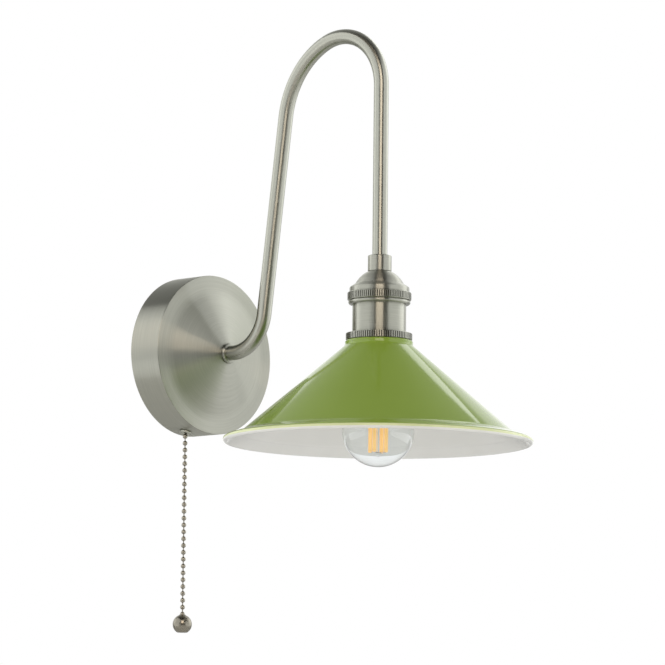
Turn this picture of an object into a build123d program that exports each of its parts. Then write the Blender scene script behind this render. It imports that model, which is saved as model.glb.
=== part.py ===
from build123d import *
import os
from math import acos, ceil, cos, pi, radians, sin, sqrt, tan

# Swan-neck wall light with a coned enamel shade and a pull-cord switch.
# The origin is the centre of the wall rose on the wall plane: +Z is up, the wall is
# the plane Y = 0 and the light stands out towards -Y. Sizes are in millimetres.
# Round shapes are worked out as arcs and turned or bent in flats, whose numbers are
# named below. Pieces that fit in one another share the same flats.

os.makedirs("parts", exist_ok=True)

# ---------------------------------------------------------------- clearances
fit_gap = 0.05          # push fit between pieces of one assembly
seat_gap = 0.3          # between pieces that move past each other
thread_gap = 0.1        # loose thread, drawn plain
pin_gap = 0.05          # turning pin in its bore

# ---------------------------------------------------------------- flats for round shapes
bend_sag = 0.2          # arc to chord along the arm's bends
holder_sides = 24       # every turned piece of the lamp holder
small_sides = 12        # small turned pieces
screw_sides = 8         # heads of the clamping screws
shade_sides = 48
rose_sides = 40

# ---------------------------------------------------------------- wall rose
rose_radius = 51.5
rose_depth = 24.5       # wall to the flat rim of the face
rose_wall = 1.2
rose_edge = 0.8
face_rim_width = 5.5    # flat ring round the face
dome_foot_width = 7.7   # hollow curve from the flat ring up to the dome
dome_foot_rise = 1.6
dome_rise = 12.2        # flat rim to the top of the dome
dome_top_radius = 9.0

# ---------------------------------------------------------------- wall bracket
bracket_thickness = 2.0
bracket_width = 22.0
ear_width = 14.0
ear_height = 13.0
ear_gap = 0.5           # bracket ear to the inside of the rose
slot_spacing = 70.0
slot_width = 4.6
slot_length = 9.0
cable_hole_radius = 7.0
rose_screw_depth = 7.0  # wall to the axis of the rose screw
rose_screw_radius = 1.5
rose_screw_head_radius = 2.9
rose_screw_head = 1.8
rose_screw_slot = 0.8
hook_width = 9.0
hook_thickness = 1.0
hook_reach = 4.0

# ---------------------------------------------------------------- swan-neck arm
tube_radius = 4.75
tube_wall = 1.0
tube_sides = 12
bore_sides = 8
tube_inner_end = 21.0   # wall to the tube's end inside the rose
lamp_reach = 168.5      # wall to the lamp's axis
leg_foot = 65.4         # wall to where the sloping leg's line meets the arm's axis
leg_lean = 7.7          # degrees that the leg leans away from the wall
foot_bend_radius = 27.0
crown_height = 194.8    # tube's centre at the top of the crown
crown_radius = 35.5     # bend on the lamp's side
crown_blend = 20.0      # degrees past the top where the wider bend begins
ferrule_radius = 6.6
ferrule_length = 2.4
arm_nut_width = 14.0    # across flats
arm_nut_height = 5.0
arm_washer_radius = 8.2
arm_washer_thickness = 1.2
flex_radius = 2.0
flex_sides = 6
flex_tail = 3.0         # lead standing out of the tube inside the rose

# ---------------------------------------------------------------- lamp holder
collar_radius = 7.45
collar_height = 10.0
collar_chamfer = 0.8
tube_in_collar = 8.0
lead_bore_radius = 3.0
cap_sphere_radius = 17.0
cap_foot_radius = 15.2
cap_wall = 1.2
flange_radius = 18.7
flange_height = 3.2     # straight edge of the flange
shoulder_rise = 2.3     # sloping shoulder from the flange's edge up to the dome
cap_ring_radius = 19.95
cap_ring_height = 5.0
cap_bead_radius = 19.4
cap_bead_height = 2.5
cap_bead_round = 1.0
body_radius = 16.8
body_wall = 1.2
body_height = 18.2      # sleeve that shows between the two knurled rings
body_in_ring = 7.0      # sleeve hidden in the cap ring
skirt_radius = 14.0     # threaded skirt that passes through the shade
skirt_wall = 1.2
skirt_length = 20.0
shade_ring_radius = 20.7
shade_ring_height = 4.4
lower_ring_radius = 19.0
lower_ring_height = 5.0
knurl_count = 44
knurl_depth = 0.35
shade_top = -2.2        # upper face of the shade's top plate
insert_flange_height = 11.0
insert_mouth = 0.5      # end of the skirt to the end of the insert
terminal_spread = 8.5
terminal_radius = 2.2
terminal_height = 1.6

# ---------------------------------------------------------------- shade
shade_wall = 1.2
shade_neck_radius = 21.2
shade_neck_height = 2.0
shade_neck_round = 1.3
cone_angle = 41.2       # degrees below the horizontal
crease_radius = 80.0    # where the cone turns into the flared lip
flare_angle = 26.0
flare_fillet = 20.0
rim_radius = 96.3
rim_bead_radius = 1.9

# ---------------------------------------------------------------- lamp, 14 mm screw cap
bulb_radius = 22.5
bulb_length = 78.0
bulb_bottom = -81.1
bulb_sides = 20
glass_wall = 0.8
neck_radius = 6.4
neck_sleeve = 3.0       # straight glass inside the cap
neck_below_cap = 1.0
screw_cap_radius = 6.9
screw_cap_wall = 0.3
screw_cap_length = 17.0
screw_cap_lip = 1.2
insulator_height = 3.4
insulator_top_radius = 3.4
button_radius = 2.3
button_height = 1.5
shell_wall = 0.5
leaf_thickness = 0.8
leaf_radius = 3.6
stem_radius = 3.0
stem_length = 12.0
glass_rod_radius = 0.8
filament_count = 4
filament_radius = 1.2
filament_sides = 6
filament_length = 29.0
filament_circle = 4.9
filament_turn = 25.0
filament_bottom = -72.0
support_width = 0.5

# ---------------------------------------------------------------- pull-cord switch
switch_angle = 14.0     # degrees round from the lowest point of the rose
switch_depth = 11.8     # wall to the cord's plane
switch_travel = 6.0     # pull of the cord
nozzle_radius = 3.2
nozzle_bore = 2.3
nozzle_mouth = 3.3
nozzle_flange_radius = 4.1
nozzle_flange = 1.8
nozzle_tip = 0.8        # thread standing inside the housing
nozzle_nut_width = 10.0
nozzle_nut_height = 2.4
housing_left = 8.0
housing_half_depth = 7.6
housing_wall = 1.5
housing_floor = 2.6
cover_thickness = 1.2
slider_radius = 1.1
slider_head_radius = 3.6
slider_head = 1.6
slider_room = 1.0       # slider's head to the roof of the housing
spring_wire = 0.6
spring_pressed = 6.5    # spring's height at the end of the pull
rotor_radius = 3.8
rotor_teeth = 8
rotor_tooth_depth = 0.8
rotor_width = 5.0
rotor_pin_radius = 0.9
rotor_room = 1.0
blade_thickness = 0.6
blade_width = 3.0
blade_spread = 3.4
blade_length = 12.0
blade_tail = 3.0

# ---------------------------------------------------------------- bead chain
bead_radius = 1.6
bead_sides = 6
bead_pitch = 4.4
link_radius = 0.4
link_sides = 4
mouth_drop = 1.6        # nozzle's mouth to the middle of the bead that hangs in it
inner_beads = 3
hanging_beads = 27
knob_radius = 6.2
knob_sides = 16
knob_foot_angle = 60.0  # degrees below the middle where the flat foot begins
knob_mouth_angle = 72.0
knob_offset = 2.1       # last bead to the middle of the knob

# ---------------------------------------------------------------- wiring
block_length = 24.0
block_width = 15.0
block_height = 11.0
block_left = 12.5       # rose's centre to the terminal block
block_poles = 3
pole_spacing = 8.0
pole_radius = 1.5
terminal_screw_radius = 1.6
terminal_screw_height = 1.2
terminal_screw_inset = 4.0
lead_radius = 0.9
lead_sides = 6
earth_screw_radius = 3.4
earth_screw_head = 2.2
earth_screw_place = 20.0
lead_bend = 4.0         # straight stretch at each end of a lead
lead_in_pole = 1.0
lead_core_spread = 1.0  # cores side by side at the end of the arm's flex


# ================================================================ helpers
def chords(curve, count):
    """Points that follow a curve in a given number of straight steps."""
    return [tuple(curve @ (step / count))[:2] for step in range(count + 1)]


def ring(outer, inner, low, high, sides):
    """A plain ring about the Z axis between two heights."""
    return turned([(inner, low), (outer, low), (outer, high), (inner, high)], sides)


def faceted(rings):
    """A solid of flat faces that join each ring of corners to the next, and the last to the first."""
    faces = []
    for lower, upper in zip(rings, rings[1:] + rings[:1]):
        for side in range(len(lower)):
            corners = []
            for corner in (lower[side - 1], lower[side], upper[side], upper[side - 1]):
                if all((corner - other).length > 1e-6 for other in corners):
                    corners.append(corner)
            if len(corners) > 2:
                faces.append(Face(Wire.make_polygon(corners)))
    return Solid(Shell(faces))


def turned(points, sides):
    """Turn a closed outline of (radius, height) points about Z in a number of flats."""
    angles = [360 * side / sides for side in range(sides)]
    return faceted([[Vector(radius, 0, height).rotate(Axis.Z, angle) for angle in angles]
                    for radius, height in points])


def stack(points, sides):
    """Turn an outline of (radius, height) points that is closed along the axis."""
    return turned([(0, points[0][1]), *points, (0, points[-1][1])], sides)


def bar(radius, low, high, sides=small_sides):
    """A bar with flats about the Z axis between two heights."""
    return stack([(radius, low), (radius, high)], sides)


def box_between(low, high):
    """A box from its lowest to its highest corner."""
    size = [b - a for a, b in zip(low, high)]
    middle = [(a + b) / 2 for a, b in zip(low, high)]
    return Pos(*middle) * Box(*size)


def bar_between(start, end, radius, sides):
    """A straight many-sided bar from one point to another."""
    along = Vector(*end) - Vector(*start)
    section = Plane(origin=start, z_dir=along) * RegularPolygon(radius, sides)
    return extrude(section, along.length)


def out_of_wall(shape):
    """Place a piece that was made about Z on the arm's axis, with +Z out of the wall."""
    return Rot(90, 0, 0) * shape


def on_lamp_axis(shape):
    """Place a piece that was made about Z on the lamp's axis."""
    return Pos(0, -lamp_reach, 0) * shape


def save(name, *pieces):
    """Write one piece, or one group of loose pieces, under its own name."""
    shape = pieces[0] if len(pieces) == 1 else Compound(children=list(pieces))
    export_step(shape, f"parts/{name}.step")


# ================================================================ places
rose_inside_radius = rose_radius - rose_wall
dome_top = rose_depth + dome_rise
switch_origin = Vector(-rose_radius * sin(radians(switch_angle)), -switch_depth,
                       -rose_radius * cos(radians(switch_angle)))
switch_place = Pos(*switch_origin) * Rot(0, switch_angle, 0)

shade_ring_top = shade_top + shade_ring_height
body_top = shade_ring_top + body_height
cap_bead_top = body_top + cap_bead_height
cap_ring_top = cap_bead_top + cap_ring_height
flange_edge = cap_ring_top + flange_height
flange_top = flange_edge + shoulder_rise
cap_sphere_centre = flange_top - sqrt(cap_sphere_radius**2 - cap_foot_radius**2)
cap_top = cap_sphere_centre + sqrt(cap_sphere_radius**2 - (collar_radius - cap_wall / 2)**2)
tube_lamp_end = cap_top + collar_height - tube_in_collar

bulb_top = bulb_bottom + bulb_length
bulb_centre = bulb_bottom + bulb_radius
screw_cap_top = bulb_top - button_height - insulator_height
screw_cap_bottom = screw_cap_top - screw_cap_length
leaf_bottom = bulb_top + seat_gap
socket_roof = leaf_bottom + leaf_thickness + fit_gap
skirt_bottom = shade_top - skirt_length


# ================================================================ wall rose
def rose_face(inset):
    """Outline points of the pressed face from its outer edge to its middle, in one skin."""
    rim = rose_radius - rose_edge - face_rim_width
    flank = rim - dome_foot_width
    low = rose_depth - inset
    foot = TangentArc((rim, low), (flank, low + dome_foot_rise), tangent=(-1, 0))
    dome = TangentArc(foot @ 1, (dome_top_radius, dome_top - inset), tangent=foot % 1)
    steps = 2 if inset else 3
    return chords(foot, steps) + chords(dome, steps)[1:]


def wall_rose():
    """Pressed sheet rose with holes for the arm, the cord nozzle and its side screw."""
    hole = tube_radius + fit_gap
    outer = [(rose_radius, 0), (rose_radius, rose_depth - rose_edge)]
    outer += [(rose_radius - rose_edge, rose_depth), *rose_face(0), (hole, dome_top)]
    inner = [(rose_inside_radius, 0), (rose_inside_radius, rose_depth - rose_wall)]
    inner += [*rose_face(rose_wall), (hole, dome_top - rose_wall)]
    nozzle_hole = switch_place * bar(nozzle_radius + thread_gap, -rose_wall, 3 * rose_wall)
    screw_hole = Pos(0, -rose_screw_depth, 0) * Rot(0, 90, 0)
    screw_hole = screw_hole * bar(rose_screw_radius + thread_gap, cable_hole_radius, 2 * rose_radius)
    return out_of_wall(turned([*outer, *reversed(inner)], rose_sides)) - nozzle_hole - screw_hole


def rose_hook():
    """Flat tab inside the rose that slips through the window in the bracket's left ear."""
    low = (-rose_radius, -rose_screw_depth - hook_thickness / 2, -hook_width / 2)
    high = (-ear_face + hook_reach, -rose_screw_depth + hook_thickness / 2, hook_width / 2)
    inside = out_of_wall(bar(rose_inside_radius - fit_gap, 0, rose_depth, rose_sides))
    return box_between(low, high) & inside


# ================================================================ wall bracket
bracket_reach = rose_inside_radius - ear_gap
ear_face = sqrt(bracket_reach**2 - (ear_width / 2)**2)


def wall_bracket():
    """Steel strap with two wall slots, a cable hole and an ear bent up at each end."""
    half = bracket_width / 2
    strap = box_between((-ear_face, -bracket_thickness, -half), (ear_face, 0, half))
    strap &= out_of_wall(bar(bracket_reach, 0, ear_height, rose_sides))
    for side in (-1, 1):
        inner, outer = sorted((side * (ear_face - bracket_thickness), side * ear_face))
        strap += box_between((inner, -ear_height, -ear_width / 2), (outer, 0, ear_width / 2))
        slot = Pos(side * slot_spacing / 2, 0) * SlotOverall(slot_length, slot_width)
        strap -= out_of_wall(extrude(slot, bracket_thickness))
    strap -= out_of_wall(bar(cable_hole_radius, 0, bracket_thickness, holder_sides))
    thread = Pos(0, -rose_screw_depth, 0) * Rot(0, 90, 0)
    thread = thread * bar(rose_screw_radius + fit_gap, ear_face - 2 * bracket_thickness, rose_radius)
    window = Pos(-ear_face, -rose_screw_depth, 0)
    window = window * Box(3 * bracket_thickness, hook_thickness + seat_gap * 2, hook_width + 1)
    return strap - thread - window


def rose_screw():
    """Slotted screw through the side of the rose into the bracket's right ear."""
    tip = ear_face - 2 * bracket_thickness
    head_top = rose_radius + rose_screw_head
    shank = bar(rose_screw_radius, tip, rose_radius)
    head = bar(rose_screw_head_radius, rose_radius, head_top)
    slot = Pos(0, 0, head_top) * Box(rose_screw_slot, 3 * rose_screw_head_radius, rose_screw_head)
    return Pos(0, -rose_screw_depth, 0) * Rot(0, 90, 0) * (shank + head - slot)


def earth_screw():
    """Earth terminal screw standing in the bracket."""
    top = bracket_thickness + earth_screw_head
    head = bar(earth_screw_radius, bracket_thickness, top, screw_sides)
    slot = Pos(0, 0, top) * Box(rose_screw_slot, 3 * earth_screw_radius, earth_screw_head)
    return Pos(-earth_screw_place, 0, 0) * out_of_wall(head - slot)


# ================================================================ swan-neck arm
def arm_path(start, end):
    """Centre line of the arm from a depth inside the rose to a height above the shade."""
    lean = radians(leg_lean)
    blend = radians(crown_blend)
    along = Vector(sin(lean), cos(lean))
    across = Vector(cos(lean), -sin(lean))
    foot = Vector(leg_foot, 0)
    crown = Vector(lamp_reach - crown_radius, crown_height - crown_radius)
    share = sin(lean + blend)
    wide_radius = ((crown - foot).dot(across) - crown_radius * share) / (1 - share)
    wide = crown + Vector(sin(blend), -cos(blend)) * (wide_radius - crown_radius)
    cut = foot_bend_radius * tan(radians(90 - leg_lean) / 2)
    bend_centre = (leg_foot - cut, foot_bend_radius)
    first = Line((start, 0), (leg_foot - cut, 0))
    bend = CenterArc(bend_centre, foot_bend_radius, -90, 90 - leg_lean)
    leg = Line(foot + along * cut, wide - across * wide_radius)
    rise = CenterArc((wide.X, wide.Y), wide_radius, 180 - leg_lean, crown_blend + leg_lean - 90)
    fall = CenterArc((crown.X, crown.Y), crown_radius, 90 + crown_blend, -90 - crown_blend)
    drop = Line((lamp_reach, crown_height - crown_radius), (lamp_reach, end))
    return [first, bend, leg, rise, fall, drop]


def arm_bar(radius, sides, start, end, bore=0, bore_flats=0):
    """A many-sided bar or tube that follows the arm's centre line."""
    stations = [(start, 0, (1, 0))]
    for line in arm_path(start, end):
        steps = 1
        if line.geom_type == GeomType.CIRCLE:
            step = 2 * acos(1 - bend_sag / line.radius)
            steps = ceil(line.length / line.radius / step)
        for number in range(1, steps + 1):
            place, heading = line @ (number / steps), line % (number / steps)
            stations.append((place.X, place.Y, (heading.X, heading.Y)))
    solid = along_arm(stations, radius, sides)
    return solid - along_arm(stations, bore, bore_flats) if bore else solid


def along_arm(stations, radius, sides):
    """A solid bar through stations of (depth, height, heading) in the arm's plane."""
    rings = []
    for depth, height, (out, up) in stations:
        section = Plane(origin=(0, -depth, height), x_dir=(1, 0, 0), z_dir=(0, -out, up))
        flats = [Vector(radius, 0).rotate(Axis.Z, 360 * side / sides) for side in range(sides)]
        rings.append([section.from_local_coords(corner) for corner in flats])
    first, last = stations[0], stations[-1]
    ends = [[Vector(0, -depth, height)] * sides for depth, height, heading in (first, last)]
    return faceted([ends[0], *rings, ends[1]])


def swan_neck_arm():
    """Bent steel tube, open at both ends."""
    return arm_bar(tube_radius, tube_sides, tube_inner_end, tube_lamp_end,
                   tube_radius - tube_wall, bore_sides)


def arm_ferrule():
    """Small half-round collar where the arm leaves the dome."""
    middle = dome_top + ferrule_length / 2
    crest = ThreePointArc((tube_radius + 0.9, dome_top), (ferrule_radius, middle),
                          (tube_radius + 0.9, dome_top + ferrule_length))
    bore = tube_radius + fit_gap
    outline = [(bore, dome_top), *chords(crest, 3), (bore, dome_top + ferrule_length)]
    return out_of_wall(turned(outline, holder_sides))


def arm_lock_washer():
    """Washer under the dome's top, behind the nut."""
    top = dome_top - rose_wall
    low = top - arm_washer_thickness
    return out_of_wall(ring(arm_washer_radius, tube_radius + fit_gap, low, top, tube_sides))


def arm_lock_nut():
    """Hexagon nut on the threaded inner end of the arm."""
    top = dome_top - rose_wall - arm_washer_thickness
    hexagon = RegularPolygon(arm_nut_width / 2, 6, major_radius=False)
    hexagon -= RegularPolygon(tube_radius + fit_gap, tube_sides)
    return out_of_wall(Pos(0, 0, top - arm_nut_height) * extrude(hexagon, arm_nut_height))


# ================================================================ lamp holder
def knurled_disc(radius, height):
    """A disc with straight knurling round its edge, standing on Z = 0."""
    step = 360 / knurl_count
    corners = []
    for tooth in range(knurl_count):
        corners.append(Vector(radius, 0).rotate(Axis.Z, tooth * step))
        corners.append(Vector(radius - knurl_depth, 0).rotate(Axis.Z, (tooth + 0.5) * step))
    return extrude(make_face(Polyline(*corners, close=True)), height)


def knurled_ring(radius, bore, low, height):
    """A knurled ring with a plain bore, from a height upwards."""
    hole = stack([(bore, 0), (bore, height)], holder_sides)
    return Pos(0, 0, low) * (knurled_disc(radius, height) - hole)


def holder_collar():
    """Turned collar that joins the arm's end to the cap, with a spigot through the cap."""
    top = cap_top + collar_height
    spigot = tube_radius - fit_gap
    outline = [(lead_bore_radius, cap_top - 2 * cap_wall), (spigot, cap_top - 2 * cap_wall)]
    outline += [(spigot, cap_top), (collar_radius, cap_top), (collar_radius, top - collar_chamfer)]
    outline += [(collar_radius - collar_chamfer, top), (tube_radius + fit_gap, top)]
    outline += [(tube_radius + fit_gap, tube_lamp_end), (lead_bore_radius, tube_lamp_end)]
    return on_lamp_axis(turned(outline, holder_sides))


def cap_dome(radius, foot, top):
    """Points of the cap's round crown, from its foot radius to its top radius."""
    middle = (foot + top) / 2
    heights = [cap_sphere_centre + sqrt(radius**2 - r**2) for r in (foot, middle, top)]
    return ThreePointArc((foot, heights[0]), (middle, heights[1]), (top, heights[2]))


def holder_cap():
    """Domed cap with a flange and a sloping shoulder, open below."""
    crown = cap_dome(cap_sphere_radius, cap_foot_radius, collar_radius - cap_wall / 2)
    hollow = cap_dome(cap_sphere_radius - cap_wall, cap_foot_radius - cap_wall, tube_radius)
    outline = [(body_radius, cap_ring_top), (flange_radius, cap_ring_top), (flange_radius, flange_edge)]
    outline += [*chords(crown, 3), (tube_radius, cap_top)]
    outline += list(reversed(chords(hollow, 2)))
    outline += [(body_radius - cap_wall, flange_top - cap_wall), (body_radius, flange_top - 2 * cap_wall)]
    return on_lamp_axis(turned(outline, holder_sides))


def cap_ring():
    """Knurled ring with a smooth bead below, which clamps the cap to the body."""
    bore = body_radius + thread_gap
    knurled = knurled_ring(cap_ring_radius, bore, cap_bead_top, cap_ring_height)
    outline = [(bore, body_top), (cap_bead_radius - cap_bead_round, body_top)]
    outline += [(cap_bead_radius, body_top + cap_bead_round), (cap_bead_radius, cap_bead_top)]
    bead = turned([*outline, (bore, cap_bead_top)], holder_sides)
    return on_lamp_axis(knurled + bead)


def holder_body():
    """Turned sleeve with a floor and a threaded skirt that passes through the shade."""
    inner = skirt_radius - skirt_wall
    floor = shade_ring_top + body_wall
    top = body_top + body_in_ring
    outline = [(inner, skirt_bottom), (skirt_radius, skirt_bottom), (skirt_radius, shade_ring_top)]
    outline += [(body_radius, shade_ring_top), (body_radius, top), (body_radius - body_wall, top)]
    outline += [(body_radius - body_wall, floor), (inner, floor)]
    return on_lamp_axis(turned(outline, holder_sides))


def holder_insert():
    """Moulded insulating insert with the lamp's screw socket."""
    bore = screw_cap_radius + seat_gap + shell_wall + fit_gap
    waist = skirt_radius - skirt_wall - thread_gap
    floor = shade_ring_top + body_wall
    low = skirt_bottom + insert_mouth
    wide = body_radius - body_wall - thread_gap
    outline = [(bore, low), (waist, low), (waist, floor), (wide, floor)]
    outline += [(wide, floor + insert_flange_height), (0, floor + insert_flange_height)]
    outline += [(0, socket_roof), (bore, socket_roof)]
    return on_lamp_axis(turned(outline, holder_sides))


def screw_shell():
    """Brass thread shell lining the socket."""
    bore = screw_cap_radius + seat_gap
    low = skirt_bottom + 2 * insert_mouth
    return on_lamp_axis(ring(bore + shell_wall, bore, low, screw_cap_top, holder_sides))


def centre_contact():
    """Round spring leaf under the socket's roof, above the lamp's contact button."""
    return on_lamp_axis(bar(leaf_radius, leaf_bottom, leaf_bottom + leaf_thickness))


def holder_terminals():
    """Two terminal screws on top of the insert."""
    low = shade_ring_top + body_wall + insert_flange_height
    screw = bar(terminal_radius, low, low + terminal_height, screw_sides)
    return [Pos(side * terminal_spread, -lamp_reach, 0) * screw for side in (-1, 1)]


# ================================================================ shade
def shade():
    """Spun cone with a short neck, a flared lip and a rolled rim, one sheet thick."""
    hole = skirt_radius + seat_gap
    neck_foot = shade_top - shade_neck_height
    crease = (crease_radius, neck_foot - (crease_radius - shade_neck_radius) * tan(radians(cone_angle)))
    flare = radians(flare_angle)
    bead_x = rim_radius - rim_bead_radius
    bead_z = crease[1] - (bead_x - crease_radius) * tan(flare) - rim_bead_radius / cos(flare)
    lip = (bead_x + rim_bead_radius * sin(flare), bead_z + rim_bead_radius * cos(flare))
    skin = FilletPolyline((hole, shade_top), (shade_neck_radius, shade_top),
                          (shade_neck_radius, neck_foot), crease, lip,
                          radius=[shade_neck_round, shade_wall / 2, flare_fillet])
    sheet = offset(Wire(skin.edges()), amount=shade_wall, side=Side.RIGHT, closed=False)
    outer, inner = [banded(line) for line in (skin, sheet)]
    if abs(inner[0][1] - shade_top) > abs(inner[-1][1] - shade_top):
        inner.reverse()
    bead = CenterArc((bead_x, bead_z), rim_bead_radius, 90 - flare_angle, -270)
    outline = [*outer[:-1], *chords(bead, 4), inner[-1], *reversed(inner[:-1])]
    return on_lamp_axis(turned(outline, shade_sides))


def banded(line):
    """Corner points of a line in which each bend becomes one or two straight steps."""
    points = []
    for edge in Wire(line.edges()).order_edges():
        steps = 2 if edge.geom_type == GeomType.CIRCLE and edge.radius > shade_neck_radius / 2 else 1
        points += chords(edge, steps)[0 if not points else 1:]
    return points


# ================================================================ lamp
def bulb_points(inset):
    """Outline of the glass from its neck to its lowest point, in one skin."""
    neck = neck_radius - inset
    ball = bulb_radius - inset
    turn = screw_cap_bottom - neck_below_cap
    rise = turn - bulb_centre
    hollow = (neck**2 + rise**2 - ball**2) / (2 * (ball - neck))
    middle = Vector(neck + hollow, turn)
    meet = Vector(0, bulb_centre) + (middle - Vector(0, bulb_centre)).normalized() * ball
    fillet = TangentArc((neck, turn), (meet.X, meet.Y), tangent=(0, -1))
    low = (ball * sin(radians(18)), bulb_centre - ball * cos(radians(18)))
    round_ = ThreePointArc((meet.X, meet.Y), (ball, bulb_centre), low)
    return chords(fillet, 2) + chords(round_, 5)[1:]


def bulb_glass():
    """Golf-ball glass, hollow and open at the neck."""
    top = screw_cap_bottom + neck_sleeve
    outside = [(neck_radius, top), *bulb_points(0)]
    inside = [(neck_radius - glass_wall, top), *bulb_points(glass_wall)]
    return on_lamp_axis(stack(outside, bulb_sides) - stack(inside, bulb_sides))


def bulb_cap():
    """Thin screw cap, drawn plain, closed above but for the insulator's hole."""
    inner = screw_cap_radius - screw_cap_wall
    lip = screw_cap_radius - screw_cap_lip
    outline = [(inner, screw_cap_bottom), (screw_cap_radius, screw_cap_bottom)]
    outline += [(screw_cap_radius, screw_cap_top), (lip, screw_cap_top)]
    outline += [(lip, screw_cap_top - screw_cap_wall), (inner, screw_cap_top - screw_cap_wall)]
    return on_lamp_axis(turned(outline, holder_sides))


def bulb_insulator():
    """Dark glass cone between the cap and the contact button."""
    foot = screw_cap_radius - screw_cap_lip - fit_gap
    points = [(foot, screw_cap_top - screw_cap_wall), (foot, screw_cap_top)]
    points += [(insulator_top_radius, screw_cap_top + insulator_height)]
    return on_lamp_axis(stack(points, small_sides))


def bulb_button():
    """Solder button at the top of the lamp."""
    points = [(button_radius, bulb_top - button_height), (button_radius, bulb_top - button_height / 2)]
    return on_lamp_axis(stack([*points, (button_radius / 2, bulb_top)], small_sides))


def bulb_stem():
    """Pressed glass stem with the rod that carries the filaments."""
    top = screw_cap_bottom + neck_sleeve
    foot = neck_radius - glass_wall - seat_gap
    low = top - stem_length
    points = [(foot, top), (foot, top - 1), (stem_radius, top - 3), (stem_radius, low)]
    stem = stack([*points, (glass_rod_radius, low - 2)], small_sides)
    rod_end = filament_bottom - 2.5
    core = Pos(0, 0, rod_end) * extrude(RegularPolygon(glass_rod_radius, small_sides), low - rod_end)
    return on_lamp_axis(stem + core)


def filament_places():
    """Where each filament stands, seen from above."""
    step = 360 / filament_count
    return [Vector(filament_circle, 0).rotate(Axis.Z, filament_turn + step * number)
            for number in range(filament_count)]


def bulb_filaments():
    """Upright rods of coated diodes."""
    rods = []
    for place in filament_places():
        start = (place.X, place.Y - lamp_reach, filament_bottom)
        end = (place.X, place.Y - lamp_reach, filament_bottom + filament_length)
        rods.append(bar_between(start, end, filament_radius, filament_sides))
    return rods


def filament_supports():
    """Flat wires from the glass rod to both ends of each filament."""
    wires = []
    for level in (filament_bottom, filament_bottom + filament_length + support_width):
        for number in range(filament_count):
            turn = filament_turn + 360 / filament_count * number
            reach = filament_circle + filament_radius / 2
            low = (glass_rod_radius, -support_width / 2, level - support_width)
            wire = box_between(low, (reach, support_width / 2, level))
            wires.append(on_lamp_axis(Rot(0, 0, turn) * wire))
    return wires


# ================================================================ pull-cord switch
rose_inside_flat = rose_inside_radius * cos(pi / rose_sides)
nut_seat = rose_radius - sqrt(rose_inside_flat**2 - (nozzle_nut_width / sqrt(3))**2) + fit_gap
housing_low = nut_seat + nozzle_nut_height
housing_deck = housing_low + housing_floor
nozzle_top = housing_deck + nozzle_tip
slider_under = nozzle_top + spring_pressed + switch_travel
slider_top = slider_under + slider_head
housing_high = slider_top + slider_room + housing_wall
rotor_x = slider_head_radius + seat_gap + rotor_radius
rotor_z = slider_top - rotor_radius
housing_right = rotor_x + rotor_radius + rotor_room + housing_wall
mouth_z = -nozzle_flange - mouth_drop
top_bead_z = mouth_z + (inner_beads - 1) * bead_pitch
pin_ends = (housing_wall / 2 - housing_half_depth, housing_half_depth + cover_thickness / 2)


def switch_nozzle():
    """Flared, threaded nozzle that guides the chain out of the rose."""
    outline = [(nozzle_bore, nozzle_top), (nozzle_radius, nozzle_top), (nozzle_radius, 0)]
    outline += [(nozzle_flange_radius, 0), (nozzle_flange_radius, -nozzle_flange / 2)]
    outline += [(nozzle_mouth, -nozzle_flange), (nozzle_bore, -nozzle_flange / 3)]
    return switch_place * turned(outline, small_sides)


def nozzle_nut():
    """Thin hexagon nut that clamps the nozzle and the switch to the rose."""
    hexagon = RegularPolygon(nozzle_nut_width / 2, 6, major_radius=False)
    hexagon -= RegularPolygon(nozzle_radius + fit_gap, small_sides)
    return switch_place * Pos(0, 0, nut_seat) * extrude(hexagon, nozzle_nut_height)


def switch_housing():
    """Moulded box, open to the front, with holes for the nozzle and the contact blades."""
    back, front = housing_half_depth, -housing_half_depth
    shell = box_between((-housing_left, front, housing_low), (housing_right, back, housing_high))
    low = (housing_wall - housing_left, front, housing_deck)
    shell -= box_between(low, (housing_right - housing_wall, back - housing_wall, housing_high - housing_wall))
    shell -= bar(nozzle_radius + thread_gap, housing_low, housing_deck)
    shell -= on_rotor_axis(bar(rotor_pin_radius + fit_gap, *pin_ends))
    for blade in blades(seat_gap):
        shell -= blade
    return switch_place * shell


def switch_cover():
    """Flat lid that closes the housing and holds the front end of the pin."""
    front = -housing_half_depth
    low = (-housing_left, front - cover_thickness, housing_low)
    lid = box_between(low, (housing_right, front, housing_high))
    return switch_place * (lid - on_rotor_axis(bar(rotor_pin_radius + fit_gap, *pin_ends)))


def on_rotor_axis(shape):
    """Place a piece that was made about Z on the rotor's axis, with +Z to the front."""
    return Pos(rotor_x, 0, rotor_z) * Rot(90, 0, 0) * shape


def rotor_pin():
    """Fixed pin that the ratchet rotor turns on, held by the housing's back and the lid."""
    pin = extrude(Circle(rotor_pin_radius), pin_ends[1] - pin_ends[0])
    return switch_place * on_rotor_axis(Pos(0, 0, pin_ends[0]) * pin)


def switch_rotor():
    """Ratchet rotor that makes and breaks the contact, one step for each pull."""
    step = 360 / rotor_teeth
    corners = []
    for tooth in range(rotor_teeth):
        corners.append(Vector(rotor_radius, 0).rotate(Axis.Z, tooth * step))
        corners.append(Vector(rotor_radius - rotor_tooth_depth, 0).rotate(Axis.Z, tooth * step + 4))
    star = make_face(Polyline(*corners, close=True)) - Circle(rotor_pin_radius + pin_gap)
    return switch_place * on_rotor_axis(extrude(star, rotor_width / 2, both=True))


def switch_slider():
    """Plunger that the chain pulls down against its spring."""
    outline = [(slider_radius, top_bead_z + bead_radius), (slider_radius, slider_under)]
    outline += [(slider_head_radius, slider_under), (slider_head_radius, slider_top)]
    return switch_place * stack(outline, small_sides)


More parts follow.
